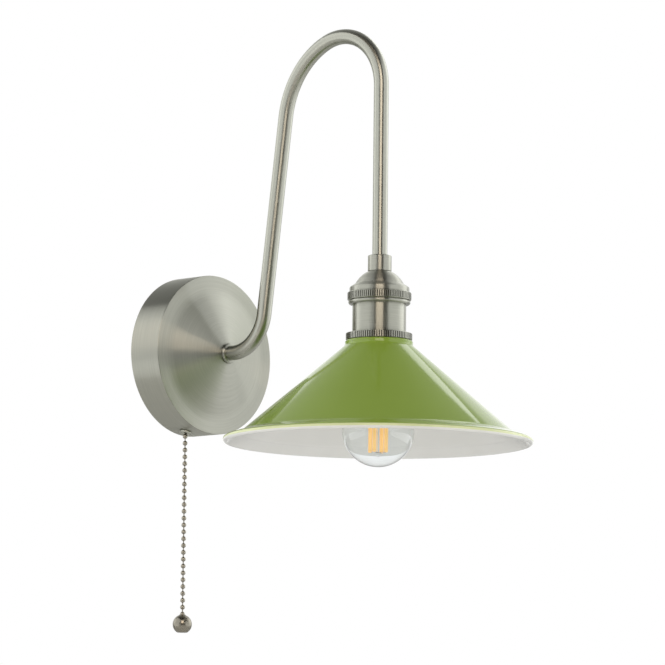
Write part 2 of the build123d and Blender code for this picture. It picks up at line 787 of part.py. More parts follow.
def switch_spring():
    """Return spring between the nozzle and the slider's head, drawn as its outer sleeve."""
    outer = nozzle_radius - fit_gap
    return switch_place * ring(outer, outer - spring_wire, nozzle_top, slider_under, small_sides)


def blades(gap):
    """The two contact blades, each thicker by a gap on every side."""
    inner = housing_wall - housing_left
    top = housing_high + blade_tail
    low = (inner - gap, -blade_width / 2 - gap, top - blade_length - blade_tail)
    high = (inner + blade_thickness + gap, blade_width / 2 + gap, top)
    return [Pos(0, side * blade_spread, 0) * box_between(low, high) for side in (-1, 1)]


# ================================================================ bead chain
def bead():
    """One ball of the chain, in flat bands."""
    quarter = [bead_radius * sin(radians(22.5)), bead_radius * cos(radians(22.5))]
    return stack([(quarter[0], -quarter[1]), (quarter[1], -quarter[0]),
                  (quarter[1], quarter[0]), (quarter[0], quarter[1])], bead_sides)


def bead_at(place):
    """One ball of the chain at a place."""
    return Pos(*place) * bead()


def link_between(upper, lower):
    """The bar between two neighbouring balls."""
    pole = bead_radius * cos(radians(22.5))
    along = (Vector(*lower) - Vector(*upper)).normalized() * pole
    return bar_between(tuple(Vector(*upper) + along), tuple(Vector(*lower) - along), link_radius, link_sides)


def from_switch(x, y, z):
    """A place in the light's frame from one in the switch's own frame."""
    return switch_origin + Vector(x, y, z).rotate(Axis.Y, switch_angle)


mouth_bead = from_switch(0, 0, mouth_z)
hanging = [mouth_bead - Vector(0, 0, bead_pitch * number) for number in range(hanging_beads + 1)]
knob_centre = hanging[-1] - Vector(0, 0, knob_offset)


def lead_chain():
    """Balls and bars inside the nozzle, down to the ball in its mouth."""
    places = [Vector(0, 0, mouth_z + bead_pitch * number) for number in range(inner_beads)]
    pieces = [bead_at(place) for place in places]
    pieces += [link_between(upper, lower) for lower, upper in zip(places, places[1:])]
    return [switch_place * piece for piece in pieces]


def swing_link():
    """First hanging bar and ball, which swing from the ball in the nozzle's mouth."""
    pole = bead_radius + seat_gap
    start = hanging[0] - Vector(0, 0, pole)
    end = hanging[1] + Vector(0, 0, bead_radius * cos(radians(22.5)))
    return [bar_between(tuple(start), tuple(end), link_radius, link_sides), bead_at(hanging[1])]


def chain_bars():
    """Bars between the hanging balls, the first one with room to swing."""
    start = hanging[1] - Vector(0, 0, bead_radius + seat_gap)
    end = hanging[2] + Vector(0, 0, bead_radius * cos(radians(22.5)))
    bars = [bar_between(tuple(start), tuple(end), link_radius, link_sides)]
    return bars + [link_between(upper, lower) for upper, lower in zip(hanging[2:], hanging[3:])]


def pull_knob():
    """Turned ball knob with a flat foot and a bore that holds the last ball."""
    arc = CenterArc((0, 0), knob_radius, -knob_foot_angle, knob_foot_angle + knob_mouth_angle)
    outline = [tuple(point) for point in chords(arc, 8)]
    bore = bead_radius + fit_gap
    ball = stack(outline, knob_sides) - bar(bore, knob_offset - bead_radius, knob_radius)
    return Pos(*knob_centre) * ball


# ================================================================ wiring
def terminal_block():
    """Three-pole connector on the bracket."""
    low = (block_left, -bracket_thickness - block_height, -block_length / 2)
    block = box_between(low, (block_left + block_width, -bracket_thickness, block_length / 2))
    depth = bracket_thickness + block_height / 2
    for place in pole_places():
        block -= Pos(block_left, -depth, place) * Rot(0, 90, 0) * bar(pole_radius, 0, block_width)
    return block


def pole_places():
    """Heights of the block's poles."""
    return [pole_spacing * (number - (block_poles - 1) / 2) for number in range(block_poles)]


def terminal_screws():
    """Two clamping screws for each pole."""
    face = bracket_thickness + block_height
    screws = []
    for place in pole_places():
        for across in (block_left + terminal_screw_inset, block_left + block_width - terminal_screw_inset):
            screw = bar(terminal_screw_radius, face, face + terminal_screw_height, screw_sides)
            screws.append(Pos(across, 0, place) * out_of_wall(screw))
    return screws


def lead(*places):
    """An insulated wire through a row of places."""
    path = Polyline(*[tuple(place) for place in places])
    section = Plane(origin=path @ 0, z_dir=path % 0) * RegularPolygon(lead_radius, lead_sides)
    return sweep(section, path=path, transition=Transition.RIGHT)


def pole_entry(place):
    """The last two places of a lead that enters one of the block's poles."""
    depth = bracket_thickness + block_height / 2
    return [Vector(block_left - lead_bend, -depth, place), Vector(block_left + lead_in_pole, -depth, place)]


def flex_core(side):
    """The first two places of a core that leaves the arm's flex."""
    start = tube_inner_end - flex_tail - fit_gap
    spread = side * lead_core_spread
    return [Vector(spread, -start, spread), Vector(spread, lead_bend - start, spread)]


def blade_end(side):
    """The first two places of a lead that is joined to a switch blade."""
    across = housing_wall - housing_left + blade_thickness / 2
    top = housing_high + blade_tail + fit_gap
    return [from_switch(across, side * blade_spread, top),
            from_switch(across, side * blade_spread, top + lead_bend)]


def leads():
    """Live lead, switched lead, neutral lead and earth lead inside the rose."""
    live_pole, earth_pole, neutral_pole = pole_places()
    depth = bracket_thickness + earth_screw_head / 2
    eye = Vector(-earth_screw_place, -depth, -earth_screw_radius - lead_radius - fit_gap)
    below_hole = Vector(cable_hole_radius - lead_radius, -depth, -cable_hole_radius - 3 * lead_radius)
    return [lead(*blade_end(1), *pole_entry(live_pole)),
            lead(*blade_end(-1), *reversed(flex_core(-1))),
            lead(*flex_core(1), *pole_entry(neutral_pole)),
            lead(eye, eye - Vector(0, 0, lead_bend), below_hole, *pole_entry(earth_pole))]


# ================================================================ pieces
save("wall_rose", wall_rose())
save("rose_hook", rose_hook())
save("wall_bracket", wall_bracket())
save("rose_screw", rose_screw())
save("earth_screw", earth_screw())
save("swan_neck_arm", swan_neck_arm())
save("arm_ferrule", arm_ferrule())
save("arm_lock_washer", arm_lock_washer())
save("arm_lock_nut", arm_lock_nut())
save("arm_flex", arm_bar(flex_radius, flex_sides, tube_inner_end - flex_tail,
                         shade_ring_top + body_wall + insert_flange_height + seat_gap))
save("holder_collar", holder_collar())
save("holder_cap", holder_cap())
save("cap_ring", cap_ring())
save("holder_body", holder_body())
save("holder_insert", holder_insert())
save("screw_shell", screw_shell())
save("centre_contact", centre_contact())
save("holder_terminals", *holder_terminals())
save("shade_ring_upper", on_lamp_axis(knurled_ring(shade_ring_radius, skirt_radius + thread_gap,
                                                   shade_top, shade_ring_height)))
save("shade_ring_lower", on_lamp_axis(ring(lower_ring_radius, skirt_radius + thread_gap,
                                           shade_top - shade_wall - lower_ring_height,
                                           shade_top - shade_wall, holder_sides)))
save("shade", shade())
save("bulb_glass", bulb_glass())
save("bulb_cap", bulb_cap())
save("bulb_insulator", bulb_insulator())
save("bulb_button", bulb_button())
save("bulb_stem", bulb_stem())
save("bulb_filaments", *bulb_filaments())
save("filament_supports", *filament_supports())
save("switch_nozzle", switch_nozzle())
save("nozzle_nut", nozzle_nut())
save("switch_housing", switch_housing())
save("switch_cover", switch_cover())
save("rotor_pin", rotor_pin())
save("switch_rotor", switch_rotor())
save("switch_slider", switch_slider())
save("switch_spring", switch_spring())
save("contact_blades", *[switch_place * blade for blade in blades(0)])
save("lead_chain", *lead_chain())
save("swing_link", *swing_link())
save("chain_beads", *[bead_at(place) for place in hanging[2:]])
save("chain_bars", *chain_bars())
save("pull_knob", pull_knob())
save("terminal_block", terminal_block())
save("terminal_screws", *terminal_screws())
save("wiring_leads", *leads())
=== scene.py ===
import logging
import math
from collections.abc import Iterable, Sequence
from dataclasses import dataclass, field
from enum import Enum

import bmesh
import bpy
import numpy as np
from mathutils import Matrix, Vector


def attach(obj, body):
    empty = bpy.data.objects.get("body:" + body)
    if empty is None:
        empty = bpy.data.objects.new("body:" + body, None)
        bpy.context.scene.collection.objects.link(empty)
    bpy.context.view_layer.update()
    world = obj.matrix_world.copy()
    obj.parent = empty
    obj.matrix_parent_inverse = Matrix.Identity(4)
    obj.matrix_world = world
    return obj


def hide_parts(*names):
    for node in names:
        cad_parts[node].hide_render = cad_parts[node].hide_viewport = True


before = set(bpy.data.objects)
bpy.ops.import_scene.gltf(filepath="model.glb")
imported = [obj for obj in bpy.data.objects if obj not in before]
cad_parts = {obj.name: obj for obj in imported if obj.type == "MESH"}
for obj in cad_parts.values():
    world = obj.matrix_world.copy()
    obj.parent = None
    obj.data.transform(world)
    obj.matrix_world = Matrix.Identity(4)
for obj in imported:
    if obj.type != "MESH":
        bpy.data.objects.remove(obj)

log = logging.getLogger("wall_light")

MM = 0.001
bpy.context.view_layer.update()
ALONG_MAP = "along"
LAMP_REACH = 168.5
LAMP_CENTRE = (0.0, -LAMP_REACH, 0.0)
LAMP_AXIS = Matrix.Translation(LAMP_CENTRE)
WALL_AXIS = Matrix.Rotation(math.radians(90), 4, "X")

Outline = list[tuple[float, float]]
Piece, Mesh, Material = bpy.types.Object, bpy.types.Mesh, bpy.types.Material
Tree, Node, Socket = bpy.types.NodeTree, bpy.types.Node, bpy.types.NodeSocket


class Body(str, Enum):
    """The CAD bodies that pieces ride on."""

    LIGHT = "wall_light"
    HEAD = "chain_head"
    SWING = "swing_bead"
    CHAIN = "pull_chain"
    BULB = "bulb"


class Grain(Enum):
    """Which way the fine lines of a finish run."""

    TURNED = "rings about an axis"
    ALONG = "lengthwise on the piece's own map"
    EVEN = "no direction"


# ------------------------------------------------------------------ small maths on outlines
def polar(centre: tuple[float, float], radius: float, degrees: float) -> tuple[float, float]:
    """Return the point at an angle on a circle."""
    turn = math.radians(degrees)
    return centre[0] + radius * math.cos(turn), centre[1] + radius * math.sin(turn)


def arc(centre: tuple[float, float], radius: float, start: float, end: float, steps: int) -> Outline:
    """Points along an arc.

    Args:
        centre: Middle of the arc.
        radius: Its radius.
        start: First angle in degrees.
        end: Last angle in degrees.
        steps: Number of straight steps.

    Returns:
        The points, both ends included.
    """
    return [polar(centre, radius, start + (end - start) * step / steps) for step in range(steps + 1)]


def tangent_arc(start: Sequence[float], end: Sequence[float], heading: Sequence[float],
                steps: int) -> tuple[Outline, tuple[float, float]]:
    """An arc that leaves one point in a direction and ends at another.

    Args:
        start: First point.
        end: Last point.
        heading: Direction of travel at the start.
        steps: Number of straight steps.

    Returns:
        The points and the direction of travel at the end.
    """
    first, last = Vector(start[:2]), Vector(end[:2])
    ahead = Vector(heading).normalized()
    side = Vector((-ahead.y, ahead.x))
    chord = last - first
    across = 2 * side.dot(chord)
    if abs(across) < 1e-9:
        return [tuple(first), tuple(last)], (ahead.x, ahead.y)
    radius = chord.length_squared / across
    centre = first + side * radius
    begin = math.atan2(first.y - centre.y, first.x - centre.x)
    sweep = 2 * math.atan2(side.dot(chord), ahead.dot(chord))
    points = []
    for step in range(steps + 1):
        turn = begin + sweep * step / steps
        points.append((centre.x + abs(radius) * math.cos(turn), centre.y + abs(radius) * math.sin(turn)))
    final = Matrix.Rotation(sweep, 2) @ ahead
    return points, (final.x, final.y)


def softened(corners: Sequence[tuple[float, ...]], steps: int = 4, closed: bool = True) -> Outline:
    """Round the corners of an outline.

    Args:
        corners: Points as (x, y) or (x, y, radius); a point with no radius stays sharp.
        steps: Straight steps in each rounded corner.
        closed: Whether the last point joins the first.

    Returns:
        The outline with its arcs.
    """
    points: Outline = []
    count = len(corners)
    for index, corner in enumerate(corners):
        here = Vector(corner[:2])
        radius = corner[2] if len(corner) > 2 else 0.0
        if radius <= 0 or (not closed and index in (0, count - 1)):
            points.append((here.x, here.y))
            continue
        back = (Vector(corners[index - 1][:2]) - here).normalized()
        ahead = (Vector(corners[(index + 1) % count][:2]) - here).normalized()
        half = back.angle(ahead) / 2
        cut = radius / math.tan(half)
        centre = here + (back + ahead).normalized() * (radius / math.sin(half))
        first, last = here + back * cut - centre, here + ahead * cut - centre
        sweep = first.angle_signed(last)
        for step in range(steps + 1):
            spoke = Matrix.Rotation(-sweep * step / steps, 2) @ first
            points.append((centre.x + spoke.x, centre.y + spoke.y))
    return points


def inward(points: Outline, distance: float) -> Outline:
    """Move an open outline sideways, to the right of its direction of travel.

    Args:
        points: The outline.
        distance: How far it moves.

    Returns:
        The moved outline, with as many points.
    """
    line = np.array(points)
    along = np.gradient(line, axis=0)
    steps = np.diff(line, axis=0)
    steps /= np.linalg.norm(steps, axis=1)[:, None]
    along[0], along[-1] = steps[0], steps[-1]
    along[1:-1] = steps[:-1] + steps[1:]
    along /= np.linalg.norm(along, axis=1)[:, None]
    stretch = np.ones(len(line))
    stretch[1:-1] = 1 / np.clip((along[1:-1] * steps[:-1]).sum(1), 0.3, 1)
    moved = line + np.stack([along[:, 1], -along[:, 0]], 1) * distance * stretch[:, None]
    return [tuple(point) for point in moved.tolist()]


# ------------------------------------------------------------------ meshes
def finish_mesh(name: str, mesh: Mesh, crease: float = 28.0, weld: bool = True) -> Piece:
    """Weld, orient and smooth a mesh and put it in the scene.

    Args:
        name: Name of the piece.
        mesh: Its mesh, in metres and in place.
        crease: Angle in degrees past which an edge stays crisp.
        weld: Whether doubled corners are merged first.

    Returns:
        The new object.
    """
    work = bmesh.new()
    work.from_mesh(mesh)
    if weld:
        bmesh.ops.remove_doubles(work, verts=work.verts, dist=1e-6)
        bmesh.ops.dissolve_degenerate(work, edges=work.edges, dist=1e-7)
    bmesh.ops.recalc_face_normals(work, faces=work.faces)
    work.to_mesh(mesh)
    work.free()
    mesh.shade_smooth()
    mesh.set_sharp_from_angle(angle=math.radians(crease))
    piece = bpy.data.objects.new(name, mesh)
    bpy.context.scene.collection.objects.link(piece)
    return piece


def skin(rings: np.ndarray, loop_rings: bool, name: str, place: Matrix = Matrix()) -> Mesh:
    """Join rings of corners with four-sided faces.

    Args:
        rings: Array of (ring, corner, xyz) in millimetres.
        loop_rings: Whether the last ring joins the first; otherwise both ends are capped.
        name: Name of the mesh.
        place: Where the mesh goes, with its offset in millimetres.

    Returns:
        The mesh in metres.
    """
    count, sides = rings.shape[:2]
    turn = np.array(place.to_3x3())
    flat = rings.reshape(-1, 3) @ turn.T + np.array(place.translation)
    faces = []
    for ring in range(count if loop_rings else count - 1):
        here, upper = ring * sides, (ring + 1) % count * sides
        for side in range(sides):
            ahead = (side + 1) % sides
            faces.append((here + side, here + ahead, upper + ahead, upper + side))
    if not loop_rings:
        faces.append(tuple(range(sides))[::-1])
        faces.append(tuple(range((count - 1) * sides, count * sides)))
    mesh = bpy.data.meshes.new(name)
    mesh.from_pydata((flat * MM).tolist(), [], faces)
    return mesh


def lathe(name: str, outline: Outline, segments: int = 96, place: Matrix = Matrix(),
          crease: float = 28.0, coats: Sequence[int] = ()) -> Piece:
    """Turn a closed outline of (radius, height) points in millimetres about Z.

    Args:
        name: Name of the piece.
        outline: The closed outline.
        segments: Steps round the axis.
        place: Where the turned piece goes.
        crease: Angle in degrees past which an edge stays crisp.
        coats: Number of the material between each point and the next.

    Returns:
        The new object.
    """
    points = np.array(outline)
    turns = np.arange(segments) * 2 * math.pi / segments
    rings = np.empty((len(points), segments, 3))
    rings[..., 0] = np.outer(points[:, 0], np.cos(turns))
    rings[..., 1] = np.outer(points[:, 0], np.sin(turns))
    rings[..., 2] = points[:, 1][:, None]
    mesh = skin(rings, True, name, place)
    if coats:
        mesh.polygons.foreach_set("material_index", np.repeat(np.array(coats), segments))
    return finish_mesh(name, mesh, crease)


def solid(outline: Outline) -> Outline:
    """Close an open outline along the axis of the lathe."""
    return [(0.0, outline[0][1]), *outline, (0.0, outline[-1][1])]


def sleeve(outer: float, inner: float, low: float, high: float, edge: float = 0.25) -> Outline:
    """Outline of a ring with softened edges."""
    return softened([(inner, low, edge), (outer, low, edge), (outer, high, edge), (inner, high, edge)], 3)


def carve(piece: Piece, cutters: Iterable[Piece], crease: float) -> None:
    """Cut closed pieces out of a piece and drop them.

    Args:
        piece: The piece that is cut.
        cutters: The closed pieces that are taken away from it.
        crease: Angle in degrees past which an edge stays crisp.
    """
    for cutter in cutters:
        change = piece.modifiers.new("cut", "BOOLEAN")
        change.operation, change.solver, change.object = "DIFFERENCE", "EXACT", cutter
        settle(piece)
        bpy.data.objects.remove(cutter)
    piece.data.shade_smooth()
    piece.data.set_sharp_from_angle(angle=math.radians(crease))


def settle(piece: Piece) -> None:
    """Turn a piece's modifiers into plain mesh and remove them."""
    view = bpy.context.evaluated_depsgraph_get()
    mesh = bpy.data.meshes.new_from_object(piece.evaluated_get(view), depsgraph=view)
    piece.modifiers.clear()
    piece.data = mesh


def join(name: str, pieces: Sequence[Piece]) -> Piece:
    """Make one piece of several.

    Args:
        name: Name of the joined piece.
        pieces: Pieces at the origin; they are dropped.

    Returns:
        The joined piece, with each piece's materials.
    """
    work = bmesh.new()
    materials: list[Material] = []
    for piece in pieces:
        shift = []
        for kept in piece.data.materials:
            if kept not in materials:
                materials.append(kept)
            shift.append(materials.index(kept))
        before = len(work.faces)
        work.from_mesh(piece.data)
        work.faces.ensure_lookup_table()
        for face in work.faces[before:]:
            face.material_index = shift[face.material_index] if shift else 0
    mesh = bpy.data.meshes.new(name)
    work.to_mesh(mesh)
    work.free()
    for kept in materials:
        mesh.materials.append(kept)
    for piece in pieces:
        bpy.data.objects.remove(piece)
    whole = bpy.data.objects.new(name, mesh)
    bpy.context.scene.collection.objects.link(whole)
    return whole


def dress(piece: Piece, *finishes: Material) -> Piece:
    """Give a piece its materials in order."""
    for finish in finishes:
        piece.data.materials.append(finish)
    return piece


def install(piece: Piece, body: Body, slot: str, *nodes: str) -> Piece:
    """Fix a piece to its CAD body in place of CAD nodes.

    Args:
        piece: The finished piece.
        body: The body that it rides on.
        slot: The record's material slot; not used.
        nodes: The CAD nodes that it stands for.

    Returns:
        The piece.
    """
    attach(piece, body.value)
    if nodes:
        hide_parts(*nodes)
    log.info("%s rides on %s for %s", piece.name, body.value, ", ".join(nodes) or "nothing")
    return piece


# ------------------------------------------------------------------ node trees
def add(tree: Tree, kind: str, inputs: dict | None = None, **settings: object) -> Node:
    """Add one node with its settings and links.

    Args:
        tree: The tree that gets the node.
        kind: The node's type.
        inputs: Socket name or number to a value or to another node's output.
        settings: The node's own options.

    Returns:
        The new node.
    """
    made = tree.nodes.new(kind)
    for key, value in settings.items():
        setattr(made, key, value)
    for key, value in (inputs or {}).items():
        if isinstance(value, Socket):
            tree.links.new(value, made.inputs[key])
        else:
            made.inputs[key].default_value = value
    return made


def linear(code: str, alpha: float = 1.0) -> tuple[float, float, float, float]:
    """Turn an sRGB hex colour into linear RGBA."""
    parts = [int(code[place:place + 2], 16) / 255 for place in (1, 3, 5)]
    red, green, blue = [part / 12.92 if part <= 0.04045 else ((part + 0.055) / 1.055) ** 2.4
                        for part in parts]
    return red, green, blue, alpha


def vector(tree: Tree, operation: str, *values: object, **named: object) -> Node:
    """Add one step of vector maths."""
    return add(tree, "ShaderNodeVectorMath", {**dict(enumerate(values)), **named}, operation=operation)


def noise(tree: Tree, where: Socket, lump: float, detail: float = 2.0) -> Socket:
    """Add noise with lumps of a size in millimetres."""
    inputs = {"Vector": where, "Scale": 1 / (lump * MM), "Detail": detail}
    return add(tree, "ShaderNodeTexNoise", inputs).outputs["Fac"]


def blend(tree: Tree, share: Socket, dark: str, light: str) -> Socket:
    """Mix two sRGB hex colours."""
    inputs = {"Factor": share, 6: linear(dark), 7: linear(light)}
    return add(tree, "ShaderNodeMix", inputs, data_type="RGBA").outputs[2]


def bump(tree: Tree, height: Socket, depth: float, strength: float = 1.0) -> Socket:
    """Turn a pattern into relief of a depth in millimetres."""
    inputs = {"Height": height, "Strength": strength, "Distance": depth * MM}
    return add(tree, "ShaderNodeBump", inputs).outputs[0]


def coat(tree: Tree, inputs: dict) -> Node:
    """Add the surface shader and the tree's output.

    Args:
        tree: The material's tree.
        inputs: Socket name to a value or to another node's output.

    Returns:
        The surface shader.
    """
    surface = add(tree, "ShaderNodeBsdfPrincipled", inputs)
    add(tree, "ShaderNodeOutputMaterial", {"Surface": surface.outputs[0]})
    return surface


class Finish:
    """A surface that builds its own material."""

    def material(self) -> Material:
        """Make a material and let the finish paint it.

        Returns:
            The material.
        """
        made = bpy.data.materials.new(self.name)
        made.use_nodes = True
        made.node_tree.nodes.clear()
        self.paint(made.node_tree)
        return made


@dataclass(frozen=True)
class Metal(Finish):
    """A metal whose fine lines come from turning, brushing or tumbling."""

    name: str
    dark: str
    light: str
    roughness: float
    spread: float = 0.08
    grain: Grain = Grain.EVEN
    line: float = 0.8
    relief: float = 0.004
    stretch: float = 0.0
    centre: tuple[float, float, float] = (0.0, 0.0, 0.0)
    axis: tuple[float, float, float] = (0.0, 0.0, 1.0)
    detail: float = 3.0
    drift: float = 1.3
    streak: float = 60.0

    def offset(self, tree: Tree) -> Socket:
        """Return the way from the centre to the shaded point."""
        spot = add(tree, "ShaderNodeTexCoord").outputs["Object"]
        return vector(tree, "SUBTRACT", spot, tuple(value * MM for value in self.centre)).outputs[0]

    def rings(self, tree: Tree) -> Socket:
        """Lay noise in rings about the axis.

        Args:
            tree: The material's tree.

        Returns:
            The noise from 0 to 1.
        """
        offset = self.offset(tree)
        depth = vector(tree, "DOT_PRODUCT", offset, self.axis).outputs["Value"]
        along = vector(tree, "SCALE", self.axis, Scale=depth)
        spoke = vector(tree, "SUBTRACT", offset, along.outputs[0]).outputs[0]
        radius = vector(tree, "LENGTH", spoke).outputs["Value"]
        slow = vector(tree, "SCALE", vector(tree, "NORMALIZE", spoke).outputs[0], Scale=self.drift)
        reach = add(tree, "ShaderNodeMath", {0: radius, 1: depth}, operation="ADD")
        fine = add(tree, "ShaderNodeMath", {0: reach.outputs[0], 1: 1 / (self.line * MM)},
                   operation="MULTIPLY")
        inputs = {"Vector": slow.outputs[0], "W": fine.outputs[0], "Scale": 1.0, "Detail": self.detail}
        return add(tree, "ShaderNodeTexNoise", inputs, noise_dimensions="4D").outputs["Fac"]

    def pattern(self, tree: Tree) -> Socket:
        """Lay the noise that follows the grain.

        Args:
            tree: The material's tree.

        Returns:
            The noise from 0 to 1.
        """
        if self.grain is Grain.TURNED:
            return self.rings(tree)
        place = add(tree, "ShaderNodeTexCoord")
        if self.grain is Grain.EVEN:
            return noise(tree, place.outputs["Object"], self.line, self.detail)
        pitch = 1 / (self.line * MM)
        span = vector(tree, "MULTIPLY", place.outputs["UV"], (pitch, pitch / self.streak, 0.0))
        inputs = {"Vector": span.outputs[0], "Scale": 1.0, "Detail": self.detail}
        return add(tree, "ShaderNodeTexNoise", inputs, noise_dimensions="2D").outputs["Fac"]

    def paint(self, tree: Tree) -> None:
        """Lay the metal's nodes.

        Args:
            tree: The material's tree.
        """
        lines = self.pattern(tree)
        rough = add(tree, "ShaderNodeMapRange", {"Value": lines, "From Min": 0.3, "From Max": 0.7,
                                                 "To Min": self.roughness - self.spread,
                                                 "To Max": self.roughness + self.spread})
        surface = coat(tree, {"Base Color": blend(tree, lines, self.dark, self.light), "Metallic": 1.0,
                              "Roughness": rough.outputs[0], "Normal": bump(tree, lines, self.relief),
                              "Anisotropic": self.stretch, "Anisotropic Rotation": 0.25})
        if not self.stretch:
            return
        if self.grain is Grain.ALONG:
            tangent = add(tree, "ShaderNodeTangent", direction_type="UV_MAP", uv_map=ALONG_MAP)
        else:
            tangent = vector(tree, "CROSS_PRODUCT", self.axis, self.offset(tree))
        tree.links.new(tangent.outputs[0], surface.inputs["Tangent"])


@dataclass(frozen=True)
class Enamel(Finish):
    """Glass enamel fired on sheet steel: a deep gloss with a faint ripple from the melt."""

    name: str
    deep: str
    pale: str
    roughness: float = 0.07
    cloud: float = 30.0
    ripple: float = 9.0
    relief: float = 0.012

    def paint(self, tree: Tree) -> None:
        """Lay the enamel's nodes.

        Args:
            tree: The material's tree.
        """
        spot = add(tree, "ShaderNodeTexCoord").outputs["Object"]
        wave = noise(tree, spot, self.ripple, 1.0)
        coat(tree, {"Base Color": blend(tree, noise(tree, spot, self.cloud), self.deep, self.pale),
                    "IOR": 1.52, "Roughness": self.roughness, "Normal": bump(tree, wave, self.relief)})


@dataclass(frozen=True)
class Moulding(Finish):
    """A moulded, cast or coated surface with a fine even texture."""

    name: str
    dark: str
    light: str
    roughness: float = 0.45
    grit: float = 0.6
    spread: float = 0.06
    relief: float = 0.01
    painted_glow: float = 0.0

    def paint(self, tree: Tree) -> None:
        """Lay the moulding's nodes.

        Args:
            tree: The material's tree.
        """
        grit = noise(tree, add(tree, "ShaderNodeTexCoord").outputs["Object"], self.grit)
        rough = add(tree, "ShaderNodeMapRange", {"Value": grit, "To Min": self.roughness - self.spread,
                                                 "To Max": self.roughness + self.spread})
        inputs = {"Base Color": blend(tree, grit, self.dark, self.light), "Roughness": rough.outputs[0],
                  "Normal": bump(tree, grit, self.relief, 0.6)}
        # painted glow: emission that brightens a part which is not a lit lamp
        if self.painted_glow:
            inputs |= {"Emission Color": linear(self.light), "Emission Strength": self.painted_glow}
        coat(tree, inputs)


@dataclass(frozen=True)
class ClearGlass(Finish):
    """Blown soda glass: colourless, with a slight waviness of its wall."""

    name: str
    tint: str = "#fbfdfd"
    ior: float = 1.5
    wave: float = 12.0
    relief: float = 0.01

    def paint(self, tree: Tree) -> None:
        """Lay the glass's nodes.

        Args:
            tree: The material's tree.
        """
        wave = noise(tree, add(tree, "ShaderNodeTexCoord").outputs["Object"], self.wave, 1.0)
        coat(tree, {"Base Color": linear(self.tint), "Roughness": 0.0, "IOR": self.ior,
                    "Transmission Weight": 1.0, "Normal": bump(tree, wave, self.relief, 0.4)})


class Finishes:
    """Every finish of the light, each made once."""

    def __init__(self) -> None:
        """Build all materials."""
        nickel = {"dark": "#9a9b91", "light": "#b7b8ae"}
        turned = {"grain": Grain.TURNED, "spread": 0.03, "stretch": 1.0, **nickel}
        # satin nickel plate, brushed on the lathe: rings and a bow-tie shine on the rose's face
        self.rose = Metal("nickel_spun_rose", roughness=0.36, line=0.8, relief=0.02, axis=(0.0, 1.0, 0.0),
                          **turned).material()
        # the same plate on turned brass: fine bands round the lamp's axis
        self.holder = Metal("nickel_turned_holder", roughness=0.34, line=0.6, relief=0.003,
                            centre=LAMP_CENTRE, **turned).material()
        # drawn tube, brushed lengthwise before plating: long soft streaks
        self.arm = Metal("nickel_drawn_tube", roughness=0.3, spread=0.03, line=0.9, relief=0.002,
                         stretch=0.9, grain=Grain.ALONG, **nickel).material()
        # the same plate on small turned parts: brighter, with no lines that show
        self.small = Metal("nickel_small_parts", roughness=0.24, line=0.7, relief=0.002, **nickel).material()
        # painted shade: the floor of the knurls is coloured dark for the little light that gets in; its dull
        # roughness is the metal's own, as no polishing wheel gets in
        self.groove_shade = Metal("nickel_painted_groove_shade", "#3c3c37", "#4c4b46", 0.5, line=0.5).material()
        # ball chain of nickelled brass, darker because each ball mirrors its neighbours
        self.chain = Metal("nickel_ball_chain", "#8f8b80", "#a7a397", 0.2, line=0.9).material()
        # knob of the chain: the darkest nickel of the light
        self.knob = Metal("nickel_dark_knob", "#7f7b70", "#989488", 0.24, line=0.9).material()
        # bright zinc on steel: a cool grey behind the rose
        self.zinc = Metal("zinc_plated_steel", "#9ba0a4", "#c3c7ca", 0.38, line=1.6, relief=0.01).material()
        # bare brass: the warm yellow of contacts and threads
        self.brass = Metal("plain_brass", "#a58a4c", "#d0b26b", 0.3, line=1.0, relief=0.006).material()
        # tinned cap: the palest metal, low in the socket
        self.lamp_cap = Metal("tinned_lamp_cap", "#b5b3ae", "#d9d7d2", 0.25, line=0.8).material()
        # the shade's outside: a deep wet green
        self.green = Enamel("enamel_apple_green", "#829d3a", "#86a13e").material()
        # where the green runs thin over the rolled edge; its pale colour is also a painted highlight from
        # glancing light
        self.lip = Enamel("enamel_lip_painted_highlight", "#d3dca6", "#dae2b2", roughness=0.12).material()
        # the shade's inside: white that sends the light down
        self.white = Enamel("enamel_white_inside", "#e2e3df", "#e9eae7", roughness=0.16).material()
        # the lamp's wall and stem: seen by their edges and reflections alone
        self.glass = ClearGlass("soda_glass").material()
        # phosphor in silicone over the diodes: a matt warm yellow, with a painted glow that brightens it
        # though the lamp is not lit
        self.filament = Moulding("phosphor_coat_painted_glow", "#f4b04a", "#ffd488", 0.6, 0.8, painted_glow=0.5).material()
        # dark insert and switch box with a low sheen
        self.black = Moulding("phenolic_black", "#191919", "#262626", 0.35).material()
        # milky connector and rotor
        self.block = Moulding("polythene_block", "#dad9d2", "#e8e7e1", 0.5).material()
        # pale flex in the tube
        self.sheath = Moulding("flex_sheath", "#d5d4cf", "#e4e3de", 0.55).material()
        # brown insulation of the leads
        self.live = Moulding("brown_lead", "#4b2f1c", "#5d3c26", 0.5).material()


